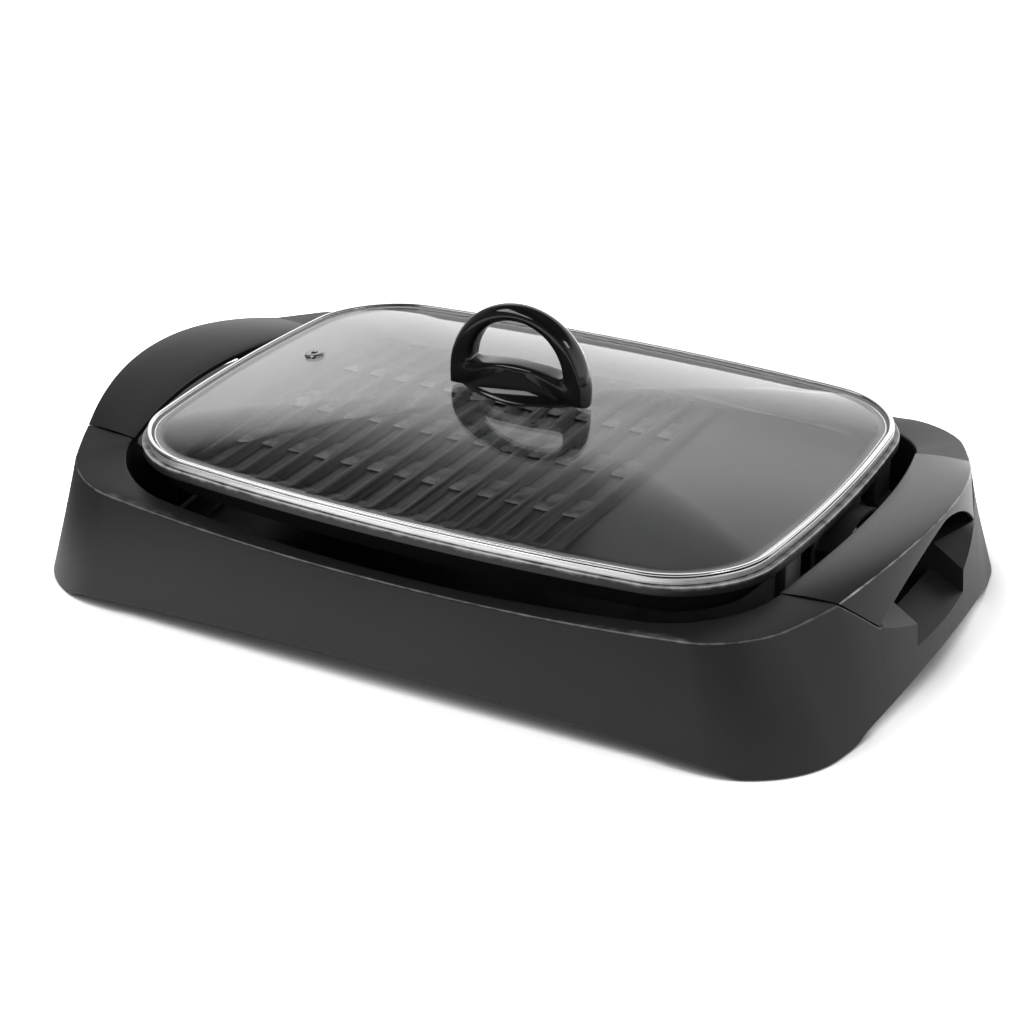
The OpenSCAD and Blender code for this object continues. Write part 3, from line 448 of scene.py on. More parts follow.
def placed(name, shape, spots, mat, turns=None, stretches=None):
    """One plain mesh of the shape at every spot, made by the place_on_points tree."""
    obj = new_object(name, spots, [])
    for key, rows, rest in (("turn", turns, (0, 0, 0)), ("stretch", stretches, (1, 1, 1))):
        layer = obj.data.attributes.new(key, "FLOAT_VECTOR", "POINT")
        rows = [rest] * len(spots) if rows is None else rows
        layer.data.foreach_set("vector", np.array(rows, np.float32).ravel())
    mod = obj.modifiers.new("place", "NODES")
    mod.node_group = PLACE
    values = {"Shape": shape, "Size": 1.0, "Finish": mat}
    for item in PLACE.interface.items_tree:
        if item.in_out == "INPUT" and item.name in values:
            mod[item.identifier] = values[item.name]
    applied(obj)
    bpy.data.objects.remove(shape)
    return obj


# ---------------------------------------------------------------- materials
SOFT_STEP = "SMOOTHSTEP"
NOISE_LOW, NOISE_HIGH = 0.3, 0.7    # noise seldom leaves this range
RUBBED_GLOSS = 0.12                 # how much smoother an edge is where it is worn and given a painted highlight


def grain_group():
    """Moulded or coated surface: slow tone, fine grain and a relief normal."""
    tree, given = group("surface_grain", "Shader",
                        {"Vector": "Vector", "Cloud Scale": "Float", "Grain Scale": "Float",
                         "Relief": "Float"},
                        {"Tone": "Float", "Grain": "Float", "Normal": "Vector"})
    cloud = noise(tree, given["Vector"], given["Cloud Scale"], 3.0, 0.55)
    grain = noise(tree, given["Vector"], given["Grain Scale"], 4.0, 0.6)
    normal = relief(tree, grain, given["Relief"], 0.0002)
    node(tree, "NodeGroupOutput", {"Tone": cloud, "Grain": grain, "Normal": normal})
    return tree


def wear_and_highlight_group():
    """Edges lightened partly as wear and partly as painted highlight: the edge attribute broken up
    by noise.
    """
    tree, given = group("rubbed_and_highlit_edges", "Shader", {"Vector": "Vector"}, {"Mask": "Float"})
    spots = noise(tree, given["Vector"], 140.0, 3.0)
    uneven = remap(tree, spots, NOISE_LOW, NOISE_HIGH, 0.55, 1.1)
    both = calc(tree, "MULTIPLY", attribute(tree, "edge_wear_and_highlight"), uneven)
    node(tree, "NodeGroupOutput", {"Mask": remap(tree, both, 0.25, 0.75)})
    return tree


def brush_group():
    """Fine lines drawn round the lid's rim."""
    tree, given = group("brushed_lines", "Shader", {"Vector": "Vector", "Relief": "Float"},
                        {"Lines": "Float", "Normal": "Vector"})
    drawn = node(tree, "ShaderNodeMapping", {"Vector": given["Vector"], "Scale": (14, 14, 5200)})
    lines = noise(tree, drawn.outputs["Vector"], 1.0, 2.0)
    normal = relief(tree, lines, given["Relief"], 0.0001)
    node(tree, "NodeGroupOutput", {"Lines": lines, "Normal": normal})
    return tree


GRAIN, WEAR_AND_HIGHLIGHT, BRUSH = grain_group(), wear_and_highlight_group(), brush_group()


def new_material(name):
    """A material, its tree, its shader and the coordinates of the piece it is on."""
    mat = bpy.data.materials.new(name)
    mat.use_nodes = True
    tree = mat.node_tree
    place = node(tree, "ShaderNodeTexCoord").outputs["Object"]
    return mat, tree, tree.nodes["Principled BSDF"], place


def finish(name, dark, light, rough, metal=0.0, cloud=9.0, grain=900.0, bumps=0.25,
           worn_and_highlit=None, specular=0.5):
    """A material whose colour runs from dark to light and roughness over rough = (low, high)."""
    mat, tree, shader, place = new_material(name)
    sizes = {"Cloud Scale": cloud, "Grain Scale": grain, "Relief": bumps}
    surface = node(tree, "ShaderNodeGroup", {"Vector": place, **sizes}, node_tree=GRAIN).outputs
    colour = mix(tree, remap(tree, surface["Tone"], NOISE_LOW, NOISE_HIGH), dark, light)
    matte = remap(tree, surface["Grain"], NOISE_LOW, NOISE_HIGH, *rough)
    # Marked edges take a lighter colour: partly wear, partly a painted highlight where light
    # catches them.
    if worn_and_highlit:
        lit_and_worn_edge = node(tree, "ShaderNodeGroup", {"Vector": place}, node_tree=WEAR_AND_HIGHLIGHT).outputs["Mask"]
        colour = mix(tree, lit_and_worn_edge, colour, worn_and_highlit)
        matte = calc(tree, "SUBTRACT", matte, calc(tree, "MULTIPLY", lit_and_worn_edge, RUBBED_GLOSS))
    wire(shader, {"Base Color": colour, "Roughness": matte, "Metallic": metal,
                  "Specular IOR Level": specular, "Normal": surface["Normal"]})
    return mat


def grey(v, warm=0.0):
    return (v * (1 + warm), v, v * (1 - warm), 1)


# The light edge colours below are partly wear and partly painted highlight: on the base's crease,
# the handle's crest, the plate's flange and the pads.
BASE_PLASTIC = finish("base_plastic", grey(0.010), grey(0.014), (0.36, 0.46),
                      worn_and_highlit=grey(0.16), bumps=0.22, grain=1500, specular=0.36)
HANDLE_PLASTIC = finish("handle_plastic", grey(0.012), grey(0.016), (0.28, 0.37),
                        worn_and_highlit=grey(0.46), bumps=0.18, grain=1500)
SCREW_STEEL = finish("screw_steel", grey(0.45), grey(0.55), (0.25, 0.4), metal=1, grain=600)
FOOT_RUBBER = finish("foot_rubber", grey(0.012), grey(0.02), (0.75, 0.9), grain=700)
# The pan is a dark grey metal, darkened as painted shade so that it stays black where it shows
# under the plate.
PAN_METAL = finish("pan_metal", grey(0.10), grey(0.14), (0.4, 0.55), metal=1, cloud=16)
PLATE_COATING = finish("plate_coating", grey(0.010, 0.01), grey(0.015, 0.01), (0.30, 0.40),
                       worn_and_highlit=grey(0.45), cloud=14, grain=1600, bumps=0.03)
SHEATH_METAL = finish("sheath_metal", grey(0.07, 0.06), grey(0.16, 0.1), (0.4, 0.6),
                      metal=0.8, cloud=22, grain=500)
BRACKET_STEEL = finish("bracket_steel", grey(0.42), grey(0.5), (0.28, 0.42), metal=1)
PIN_METAL = finish("pin_metal", grey(0.55), grey(0.62), (0.15, 0.28), metal=1)
CERAMIC = finish("ceramic", (0.74, 0.72, 0.66, 1), (0.80, 0.78, 0.72, 1), (0.45, 0.6), bumps=0.4)
HOOD_PLASTIC = finish("hood_plastic", grey(0.006), grey(0.009), (0.5, 0.6), specular=0.1)
GROMMET_METAL = finish("grommet_metal", grey(0.30), grey(0.42), (0.2, 0.32), metal=1)
GASKET_RUBBER = finish("gasket_rubber", grey(0.015), grey(0.022), (0.7, 0.85), grain=700)
KNOB_PLASTIC = finish("knob_plastic", grey(0.004), grey(0.006), (0.06, 0.11), bumps=0.03,
                      cloud=30, grain=260)


def rim_finish():
    """Polished bead over a brushed band: attributes mark the band, and the groove between, which
    is painted near black as painted shade.
    """
    mat, tree, shader, place = new_material("rim_steel")
    band = attribute(tree, "brushed")
    drawn = node(tree, "ShaderNodeGroup", {"Vector": place, "Relief": band}, node_tree=BRUSH)
    lines, normal = drawn.outputs["Lines"], drawn.outputs["Normal"]
    steel = mix(tree, lines, grey(0.80), (0.94, 0.94, 0.93, 1))
    # Painted shade: the groove between bead and band is painted near black.
    colour = mix(tree, attribute(tree, "seam_shade"), steel, grey(0.01))
    matte = remap(tree, calc(tree, "MULTIPLY", lines, band), 0.0, 0.7, 0.09, 0.42)
    wire(shader, {"Base Color": colour, "Roughness": matte, "Metallic": 1.0, "Normal": normal})
    return mat


def glass_finish():
    """Clear tempered glass with faint smears."""
    mat, tree, shader, place = new_material("lid_glass")
    smears = noise(tree, place, 18.0, 5.0)
    wire(shader, {"Base Color": mix(tree, smears, (0.94, 0.96, 0.95, 1), (0.97, 0.98, 0.975, 1)),
                  "Roughness": remap(tree, smears, 0.35, 0.8, 0.0, 0.012),
                  "Transmission Weight": 1.0, "IOR": 1.5})
    return mat


RIM_STEEL, LID_GLASS = rim_finish(), glass_finish()


def piece(obj, mat, body, slot, *nodes, angle=32):
    """Gives a finished mesh its material and body, and hides the CAD nodes it stands for. The slot
    argument is not used.
    """
    obj.data.materials.clear()
    obj.data.materials.append(mat)
    obj.data.shade_smooth()
    obj.data.set_sharp_from_angle(angle=math.radians(angle))
    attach(obj, body)
    if nodes:
        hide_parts(*nodes)


def kept(name, mat):
    """A CAD node that is shown as it is, with a procedural finish."""
    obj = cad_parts[name]
    obj.data.materials.clear()
    obj.data.materials.append(mat)


# ---------------------------------------------------------------- base
FLANGE_TOP, FLANGE_H, FLANGE_W = 82.5, 5.3, 12.0    # the plate's flange
FLANGE_UNDER = FLANGE_TOP - FLANGE_H
PLATE_WALL = 4.0
CHANNEL_Y, LEDGE_W = 34.0, 19.7                     # the channel for the plug
CHANNEL_X = WELL[0] + WELL[3] + LEDGE_W
CHANNEL_Z, CHANNEL_LIP_Z = 38.0, 28.0
PIT_Z, PIT_REACH = 26.0, 16.0
SCOOP_LIP_Z, SCOOP_T = 41.5, WALL + 0.4
OVER = 8.0                                          # how far cutters reach past the housing
SOFT_X, SOFT_RUN = 60.0, 90.0                       # where the deck's soft roll tightens
SOFT_ROLL, TIGHT_ROLL = 5.0, 1.6
FIN_Y, FIN_W, FIN_GAP, FIN_SINK = 62.0, 20.0, 0.8, 0.5
FOUR = [(1, 1), (1, -1), (-1, 1), (-1, -1)]
CORNER_FOOT = (BASE[0] - 24.5, BASE[1] - 37.0)
HANDLE_SCREW, BOSS_SEAT, BOSS_TOP, BOSS_LOW = (CREASE[0] + 20.0, 74.0), 54.0, 66.0, 50.0
PAN_SCREW, PAN_LOW = (110.0, 80.0), 15.0
CUP_R, CUP_TOP, CUP_LOW, CUP_FLOOR = 10.0, 10.5, 1.2, 5.2
WEB_L, WEB_LOW = 37.5, 7.5


def at_four(x, y, z):
    return [(sx * x, sy * y, z) for sx, sy in FOUR]


def scoop_cutter(drop=0.0):
    """Space over the finger scoop, which slopes down to the lip in the end wall."""
    inner = np.array([CHANNEL_X, CHANNEL_Y, LEDGE_Z])
    lip = np.array([end_wall_x(CHANNEL_Y, SCOOP_LIP_Z), CHANNEL_Y, SCOOP_LIP_Z])
    tip = np.array([end_wall_x(SCOOP_Y, LEDGE_Z), SCOOP_Y, LEDGE_Z])
    fall = lip - inner
    half = [inner, tip, tip + 0.6 * fall, inner + 1.6 * fall]
    low = np.array([p * (1, -1, 1) for p in half] + half[::-1]) - (0, 0, drop)
    top = low * (1, 1, 0) + (0, 0, LEDGE_Z + OVER - drop)
    faces = [[3, 2, 1, 0], [7, 4, 3, 0], [7, 6, 5, 4], list(range(8, 16))]
    faces += [[k, (k + 1) % 8, 8 + (k + 1) % 8, 8 + k] for k in range(8)]
    return tidy_normals(new_object("scoop_cutter", np.concatenate([low, top]), faces))


def channel_cutter(grow=0.0):
    """Space of the plug channel and the pit at its inner end."""
    lip = end_wall_x(0, CHANNEL_LIP_Z)
    slope = (CHANNEL_Z - CHANNEL_LIP_Z) / (lip - CHANNEL_X)
    x0, x1 = end_x(WELL, 0) - PIT_REACH, lip + OVER
    z0, step = CHANNEL_Z - grow, CHANNEL_X + grow
    outline_xz = [(x0, PIT_Z - grow), (step, PIT_Z - grow), (step, z0 - slope * grow),
                  (x1, z0 - slope * (x1 - CHANNEL_X)), (x1, LEDGE_Z + OVER), (x0, LEDGE_Z + OVER)]
    y = CHANNEL_Y + grow
    return prism("channel_cutter", outline_xz, -y, y)


def base_core():
    """A solid as large as the housing, to the middle of its wall."""
    half = WALL / 2
    rings = [flat(inset(BASE, half), FOOT_Z + 1), wall_ring(half),
             deck_ring(inset(WELL, -half), -DECK_FALL - half),
             flat(inset(WELL, WELL_LEAN - half), FLOOR_Z - half)]
    return tidy_normals(loft("base_core", rings))


def base_shell():
    """The housing's skin: floor, well, deck and outer wall."""
    path = [flat(inset(WELL, WELL_LEAN), FLOOR_Z), deck_ring(WELL, -DECK_FALL), wall_ring(0),
            foot_ring(0), foot_ring(WALL), wall_ring(WALL),
            deck_ring(inset(WELL, -WALL), -DECK_FALL - WALL),
            flat(inset(WELL, WELL_LEAN - WALL), FLOOR_Z - WALL)]
    # The deck rolls softly into the well along the long sides, and tighter at the corners.
    long_side = 1 - np.clip((np.abs(outline(WELL)[:, 0]) - SOFT_X) / SOFT_RUN, 0, 1)
    sizes = {1: TIGHT_ROLL + (SOFT_ROLL - TIGHT_ROLL) * long_side, 2: 1.5, 3: 0.8, 4: 0.6}
    return tidy_normals(loft("base_shell", rounded(path, sizes)))


def pocket_walls():
    """Walls of the scoop and of the plug channel, within the housing."""
    liner = cut(scoop_cutter(SCOOP_T), channel_cutter(WALL), "UNION")
    return cut(base_core(), liner, "INTERSECT")


def base_fins():
    """The upright fins that carry the cooking plate, two at each end."""
    y0, y1 = FIN_Y - FIN_W / 2, FIN_Y + FIN_W / 2
    x0, x1 = end_x(PLATE, y0) - FLANGE_W + PLATE_WALL + FIN_GAP, end_x(PLATE, y1)
    wall = end_x(WELL, FIN_Y) + FIN_SINK
    outline_xz = [(x0, FLOOR_Z - 1), (wall - WELL_LEAN, FLOOR_Z - 1), (wall - 1, LEDGE_Z - 4),
                  (x1, LEDGE_Z + 6), (x1, FLANGE_UNDER), (x0, FLANGE_UNDER)]
    right = bevelled(prism("fin", outline_xz, y0, y1), 0.5)
    fins = [right, mirrored(right, "fin")]
    return fins + [mirrored(fin, "fin", (1, -1)) for fin in fins]


def base_posts():
    """A foot cup, a boss for a handle screw and a boss for a pan screw at each corner."""
    cup = turned("foot_cup", [(8.1, 1.6), (8.4, CUP_LOW), (9.6, CUP_LOW), (CUP_R, 1.6),
                              (CUP_R, CUP_TOP), (AXIS / 2, CUP_TOP), (AXIS / 2, CUP_FLOOR),
                              (8.1, CUP_FLOOR)], 40)
    boss = turned("handle_boss", [(2.1, BOSS_SEAT), (2.1, BOSS_TOP), (6.4, BOSS_TOP),
                                  (7, BOSS_TOP - 0.6), (7, BOSS_LOW), (3.7, BOSS_LOW),
                                  (3.7, BOSS_SEAT)], 32)
    pan_boss = turned("pan_boss", [(2.0, 7), (2.0, PAN_LOW), (5.1, PAN_LOW),
                                   (5.5, PAN_LOW - 0.4), (5.5, 7)], 28)
    posts = []
    for shape, spot in ((cup, CORNER_FOOT), (boss, HANDLE_SCREW), (pan_boss, PAN_SCREW)):
        posts += [copied(shape, "post", shift(*place)) for place in at_four(*spot, 0)]
        bpy.data.objects.remove(shape)
    return posts


def corner_webs():
    """A level web in each corner, between the foot cup and the outer wall."""
    webs = []
    inner_x, inner_y = CORNER_FOOT[0] - WEB_L, CORNER_FOOT[1] - WEB_L
    past_x, past_y = 260, 170       # clear of the outer wall
    for sx, sy in FOUR:
        x0, x1 = sorted((sx * inner_x, sx * past_x))
        y0, y1 = sorted((sy * inner_y, sy * past_y))
        box = block("web_box", (x0, y0, WEB_LOW), (x1, y1, CUP_TOP))
        webs.append(cut(base_core(), box, "INTERSECT"))
    return webs


def base_housing():
    shell = cut(base_shell(), pocket_walls(), "UNION")
    for cutter in (scoop_cutter(), channel_cutter()):
        cut(shell, cutter)
    tidy_normals(shell, reach=2e-5, slivers=True)
    obj = joined("base_moulding", [shell, *base_fins(), *base_posts(), *corner_webs()])
    # Along the crease: a painted highlight, with some wear.
    wear_and_highlight_from(obj, wall_ring(0), 1.4)
    return obj


# ---------------------------------------------------------------- handles
HANDLE_GAP, HANDLE_THICK, SKIRT = 0.5, 3.8, 3.2
INNER_X, INNER_BOW, INNER_RISE = CREASE[0] - 2.3, 12.5, 7.2
GAP_Y = HANDLE_GAP * math.sqrt(1 + 1 / STEP_SLOPE ** 2)
SKIRT_MID_Z, SKIRT_END_Z = JOINT_Z + HANDLE_RISE - HANDLE_THICK - 0.8, LEDGE_Z + HANDLE_GAP
SKIRT_FALL = 1.6
BAND_SWELL = ((0, 0), (0.25, 0.6), (0.5, 0.8), (0.75, 0.6), (1, 0))     # share of width, height


def handle_end_y(z):
    return SCOOP_Y + (z - LEDGE_Z) / STEP_SLOPE - GAP_Y


def handle_edge_z(y):
    return JOINT_Z - DECK_FALL + INNER_RISE * (1 - (y / JOINT_Y) ** 2)


def handle_section(u):
    """Ten corners of the handle's section, from u = -1 at one end to 1 at the other: over the
    band from its inner edge to the crest, down the skirt, and back below."""
    y, y_under = u * handle_end_y(JOINT_Z), u * handle_end_y(JOINT_Z - HANDLE_THICK)
    y_skirt = u * handle_end_y(SKIRT_END_Z)
    z_skirt = SKIRT_MID_Z - (SKIRT_MID_Z - SKIRT_END_Z) * abs(u) ** SKIRT_FALL
    x_skirt = end_wall_x(y_skirt, z_skirt)

    def inner_x(v):
        return INNER_X + INNER_BOW * (1 - (v / JOINT_Y) ** 2)

    x0, x1, z0, z1 = inner_x(y), end_x(CREASE, y), handle_edge_z(y), end_crease_z(y)
    band = [(x0 * (1 - t) + x1 * t, y, z0 * (1 - t) + z1 * t + up) for t, up in BAND_SWELL]
    skirt = [(x_skirt, y_skirt, z_skirt), (x_skirt - SKIRT, y_skirt, z_skirt)]
    u0, u1 = inner_x(y_under), end_x(CREASE, y_under) - SKIRT
    under = [(x, y_under, z - HANDLE_THICK)
             for x, z in ((u1, z1), ((u0 + u1) / 2, (z0 + z1) / 2), (u0, z0))]
    return np.array(band + skirt + under)


def handle_body():
    """The band and skirt of one handle, swept from end to end with rounded edges."""
    us = np.sin(np.linspace(-math.pi / 2, math.pi / 2, 97))
    corners = np.array([handle_section(u) for u in us]).swapaxes(0, 1)
    edges = rounded(corners, {0: 1.4, 4: 1.3, 5: 1.2, 6: 0.9, 7: 2.0, 9: 1.2})
    rings = np.array(edges).swapaxes(0, 1)
    return bevelled(tidy_normals(loft("handle_band", rings)), 0.35, 2, 50)


def handle():
    x, y = HANDLE_SCREW
    top = (handle_edge_z(y) + end_crease_z(y) - HANDLE_THICK) / 2
    post = turned("post", [(2, BOSS_TOP), (5.6, BOSS_TOP), (6, BOSS_TOP + 0.4), (6, top),
                           (2, top)], 32)
    parts = [handle_body()] + [copied(post, "post", shift(x, s * y)) for s in (1, -1)]
    bpy.data.objects.remove(post)
    obj = joined("right_handle_grip", parts)
    crest = np.array([handle_section(u)[4] for u in np.linspace(-1, 1, 120)])
    # Along the crest: a painted highlight, with some wear.
    wear_and_highlight_from(obj, crest, 1.25, closed=False)
    return obj


# ---------------------------------------------------------------- small parts
SCREW_D, SCREW_HEAD_D, SCREW_HEAD_H = 3.6, 7.0, 2.4
PAN_IN, PAN_T, PAN_TOP, PAN_RIM, PAN_LEAN = 12.0, 0.8, 31.0, 2.0, 4.0
SHRUNK = (0.9, 0.9, 1)      # the ring inside a floor, which keeps its cap away from the edge


def screw_shape(length):
    """A pan head screw standing on its head, with a cross recess below."""
    r, s, h = SCREW_HEAD_D / 2, SCREW_D / 2, SCREW_HEAD_H
    side = [(AXIS, -h), (r * 0.55, -h), (r * 0.85, -h * 0.8), (r, -h * 0.4), (r, -0.1),
            (r - 0.1, 0), (s, 0), (s, length - 0.5), (s - 0.5, length), (AXIS, length)]
    body = turned("screw_shape", side, 28, closed=False)
    for w, d in ((0.55, r * 0.6), (r * 0.6, 0.55)):
        cut(body, block("slot", (-w, -d, -h - 1), (w, d, -h * 0.45)))
    return body


def screw_set(name, length, spots, body, replaced, turns=None):
    screws = placed(name, screw_shape(length), spots, SCREW_STEEL, turns)
    piece(screws, SCREW_STEEL, body, "screw_steel", replaced)


def foot_shape():
    side = [(AXIS, 0), (6.6, 0), (7.6, 0.3), (8, 1.1), (8, 4.8), (7.8, 5), (AXIS, 5)]
    return turned("foot_shape", side, closed=False)


def reflector_pan():
    """The pressed tray under the heater, with a turned-out rim."""
    pan = inset(PLATE, PAN_IN)
    under = flat(inset(pan, PAN_LEAN), PAN_LOW)
    floor = flat(inset(pan, PAN_LEAN + PAN_T), PAN_LOW + PAN_T)
    path = [under * SHRUNK, under, flat(inset(pan, PAN_RIM), PAN_TOP - PAN_T),
            flat(pan, PAN_TOP - PAN_T), flat(pan, PAN_TOP),
            flat(inset(pan, PAN_RIM + PAN_T), PAN_TOP), floor, floor * SHRUNK]
    tray = loft("reflector_pan_tray", rounded(path, {1: 3.5, 2: 1.0, 5: 1.6, 6: 3.0}))
    return tidy_normals(tray)


# ---------------------------------------------------------------- cooking plate
BASIN_LEAN = 6.0
BASIN = inset(PLATE, FLANGE_W + BASIN_LEAN)
BASIN_Z, UNDER_Z = 66.0, 61.0
RIDGE_PITCH, RIDGE_W, RIDGE_TOP_W, RIDGE_H = 17.4, 9.5, 4.5, 4.0
RIDGE_HALF, RIDGE_CLEAR = 100.0, 7.0
RIDGE_X = [69.6 - k * RIDGE_PITCH for k in range(14)]
PAD_Y = [10.6 + 56.5 * k for k in (-2, -1, 0, 1)]
PAD_L, PAD_H = 20.7, 1.5
ELEMENT_Z = UNDER_Z - 4.05
CLAMP_Z = ELEMENT_Z - 5.55
CLAMPS = [(-70, 34), (50, 34), (-20, 70), (100, 70)]
BRACKET_TAB = (168, 34)


def half_y(ring, x):
    """Half the depth of a ring at a place along it."""
    c = max(abs(x) - ring[0] + ring[2], 0)
    return (ring[1] - ring[2] + math.sqrt(ring[2] ** 2 - c * c)
            + ring[4] * (1 - (x / ring[0]) ** 2))


def plate_bowl():
    """The cast plate without its ridges: underside, flange and basin."""
    under, basin = flat(inset(BASIN, -PLATE_WALL), UNDER_Z), flat(BASIN, BASIN_Z)
    path = [under * SHRUNK, under, flat(inset(PLATE, FLANGE_W - PLATE_WALL), FLANGE_UNDER),
            flat(PLATE, FLANGE_UNDER), flat(PLATE, FLANGE_TOP),
            flat(inset(PLATE, FLANGE_W), FLANGE_TOP), basin, basin * SHRUNK]
    sizes = {1: 2.5, 2: 1.5, 3: 0.5, 4: 0.9, 5: 1.4, 6: 3.0}
    bowl = tidy_normals(loft("cooking_plate_bowl", rounded(path, sizes)))
    # Along the flange's top edge: a painted highlight, with some wear.
    wear_and_highlight_from(bowl, flat(inset(PLATE, 0.3), FLANGE_TOP - 0.2), 1.3)
    return bowl


def ridge_shape():
    """One grill ridge, RIDGE_HALF to each side, with rounded ends."""
    w, t, h = RIDGE_W / 2, RIDGE_TOP_W / 2, RIDGE_H
    left = [(-w, -0.6), (-w, 0), (-w * 0.86, h * 0.16), (-w * 0.76, h * 0.45),
            (-t * 1.2, h * 0.8), (-t * 0.8, h * 0.95), (-t * 0.3, h)]
    profile = left + [(-x, z) for x, z in left[::-1]]
    # y and how full the section is there
    ends = [(-RIDGE_HALF + run, k) for run, k in ((0, 0.02), (0.3, 0.35), (1.1, 0.62),
                                                  (2.4, 0.83), (4.2, 0.95), (6.4, 1))]
    spots = ends + [(y, 1) for y in np.linspace(-90, 90, 7)] + [(-y, k) for y, k in ends[::-1]]
    rows = [np.array([(x * (0.55 + 0.45 * k), y, z * k if z > 0 else z) for x, z in profile])
            for y, k in spots]
    return tidy_normals(loft("ridge_shape", rows))


def pad_shape():
    """A low pad between two ridges, with a rolled top edge."""
    x, y = RIDGE_PITCH / 2, PAD_L / 2
    pad = bevelled(block("pad_shape", (-x, -y, -0.5), (x, y, PAD_H)), 0.7, 3, 60)
    edge = np.array([(v, -y + 0.2, PAD_H - 0.1) for v in np.linspace(-x, x, 120)])
    # Along the pad's top front edge: a painted highlight, with some wear.
    wear_and_highlight_from(pad, edge, 1.6, closed=False)
    return pad


def pad_spots():
    """Places of the pads between ridges, where the basin is deep enough for them."""
    spots = []
    for x in RIDGE_X[1:]:
        for y in PAD_Y:
            if abs(y) + PAD_L / 2 < half_y(BASIN, x) - 1:
                spots.append((x + RIDGE_PITCH / 2, y, BASIN_Z))
    return spots


# ---------------------------------------------------------------- lid
LID_Z = 82.8
RIM_T, BEAD_RISE, BEAD_W, SHELF_W, GLASS_PLAY = 0.9, 0.8, 1.8, 4.0, 0.4
GLASS_T = 3.6
GLASS_LOW = LID_Z + RIM_T
GLASS_TOP = GLASS_LOW + GLASS_T
LIP_LOW = GLASS_TOP + 0.05
BEAD_TOP = GLASS_TOP + BEAD_RISE
DOME = inset(LID, 6.0)
DOME_RISE, DOME_POWER = 17.5, 2.2
CROWN_Z = GLASS_TOP + DOME_RISE
VENT = (-147.0, 17.0)
VENT_HOLE_R, KNOB_HOLE_R = 4.05, 2.8


def dome_z(k):
    """Height of the glass's upper face at a share k of the way out to its edge."""
    return GLASS_TOP + DOME_RISE * (1 - k ** DOME_POWER)


def lid_rim():
    # Distance out from the lid's outline, and height: up the band, over the bead, and back
    # round the glass's edge to the shelf below it.
    section = [(RIM_T, LID_Z), (RIM_T, GLASS_TOP - 1.2), (0.4, GLASS_TOP - 0.8),
               (0.4, GLASS_TOP - 0.5), (0.7, GLASS_TOP - 0.1), (0.7, BEAD_TOP - 0.4),
               (0.4, BEAD_TOP - 0.1), (-0.3, BEAD_TOP), (-1.2, BEAD_TOP - 0.1),
               (-BEAD_W, BEAD_TOP - 0.5), (-BEAD_W, LIP_LOW), (-GLASS_PLAY, LIP_LOW),
               (-GLASS_PLAY, GLASS_LOW), (-SHELF_W, GLASS_LOW), (-SHELF_W, LID_Z)]
    path = [flat(inset(LID, -d), z) for d, z in section]
    rows, brushed, seam_shade = [], [], []
    for k, row in enumerate(path):
        made = fillet(path, k, 0.22, 3) if k in (0, 1, 5, 6, 8, 9) else [row]
        rows += made
        brushed += [k in (0, 1)] * len(made)
        # The groove's rows are marked for painted shade.
        seam_shade += [k in (2, 3)] * len(made)
    rim = loft("lid_rim_band", rows, closed=True)
    store(rim, "brushed", np.repeat(brushed, len(rows[0])))
    store(rim, "seam_shade", np.repeat(seam_shade, len(rows[0])))
    return tidy_normals(rim)


def drill(r, low, high, n=48):
    """A round cutter about Z."""
    side = [(AXIS, low), (r, low), (r, high), (AXIS, high)]
    return turned("drill", side, n, closed=False)


def at_vent(obj):
    """Moves a piece made at the origin to the vent, tilted with the dome."""
    reach = DOME[0] + DOME[3]
    k = math.hypot(*VENT) / reach
    tilt = math.atan(DOME_RISE * DOME_POWER * k ** (DOME_POWER - 1) / reach)
    obj.data.transform(shift(*VENT, dome_z(k)) @ Matrix.Rotation(-tilt, 4, "Y"))
    return obj


def lid_glass():
    """The dome, GLASS_T thick, with holes for the vent and the knob."""
    shares = np.concatenate([np.linspace(1, 0.9, 7), np.linspace(0.88, 0.04, 34)])
    xy = outline(DOME)
    top = [np.column_stack([xy * k, np.full(len(xy), dome_z(k))]) for k in shares]
    low = [row - (0, 0, GLASS_T) for row in top]
    edge = [flat(inset(LID, 0.6), GLASS_LOW), flat(inset(LID, 0.6), GLASS_TOP)]
    n = len(low)
    sizes = {n - 1: 3.0, n: 0.3, n + 1: 0.3, n + 2: 3.0}
    glass = tidy_normals(loft("lid_glass_dome", rounded(low[::-1] + edge + top, sizes)))
    cut(glass, at_vent(drill(VENT_HOLE_R, -6, 3, 40)))
    cut(glass, drill(KNOB_HOLE_R, CROWN_Z - 6, CROWN_Z + 2))
    return tidy_normals(glass)


def vent_grommet():
    """An eyelet that holds the vent's edge between two flanges."""
    r, t, play = 6.0, 1.2, 0.12
    low = -GLASS_T - play
    profile = [(2, low - t), (2, t + play - 0.3), (2.3, t + play), (4.9, t + play),
               (5.6, t * 0.8 + play), (r, t * 0.35 + play), (r, play), (4, play), (4, low),
               (r, low), (r, low - t * 0.6), (5.5, low - t), (2.3, low - t)]
    return at_vent(turned("vent_grommet_ring", profile))


# ---------------------------------------------------------------- knob
KNOB_Z = CROWN_Z + 1.0
KNOB_R, HOLE_R = 43.3, 29.0
KNOB_BASE_H = 14.5
KNOB_FLOOR = KNOB_Z + KNOB_BASE_H
KNOB_MID = KNOB_FLOOR - 6.0
BAR_RISE, BAR_HALF = 3.4, 28.0          # arch of the bar inside the loop
EYE_RISE, LEAST_HOOP = 11.0, 6.0


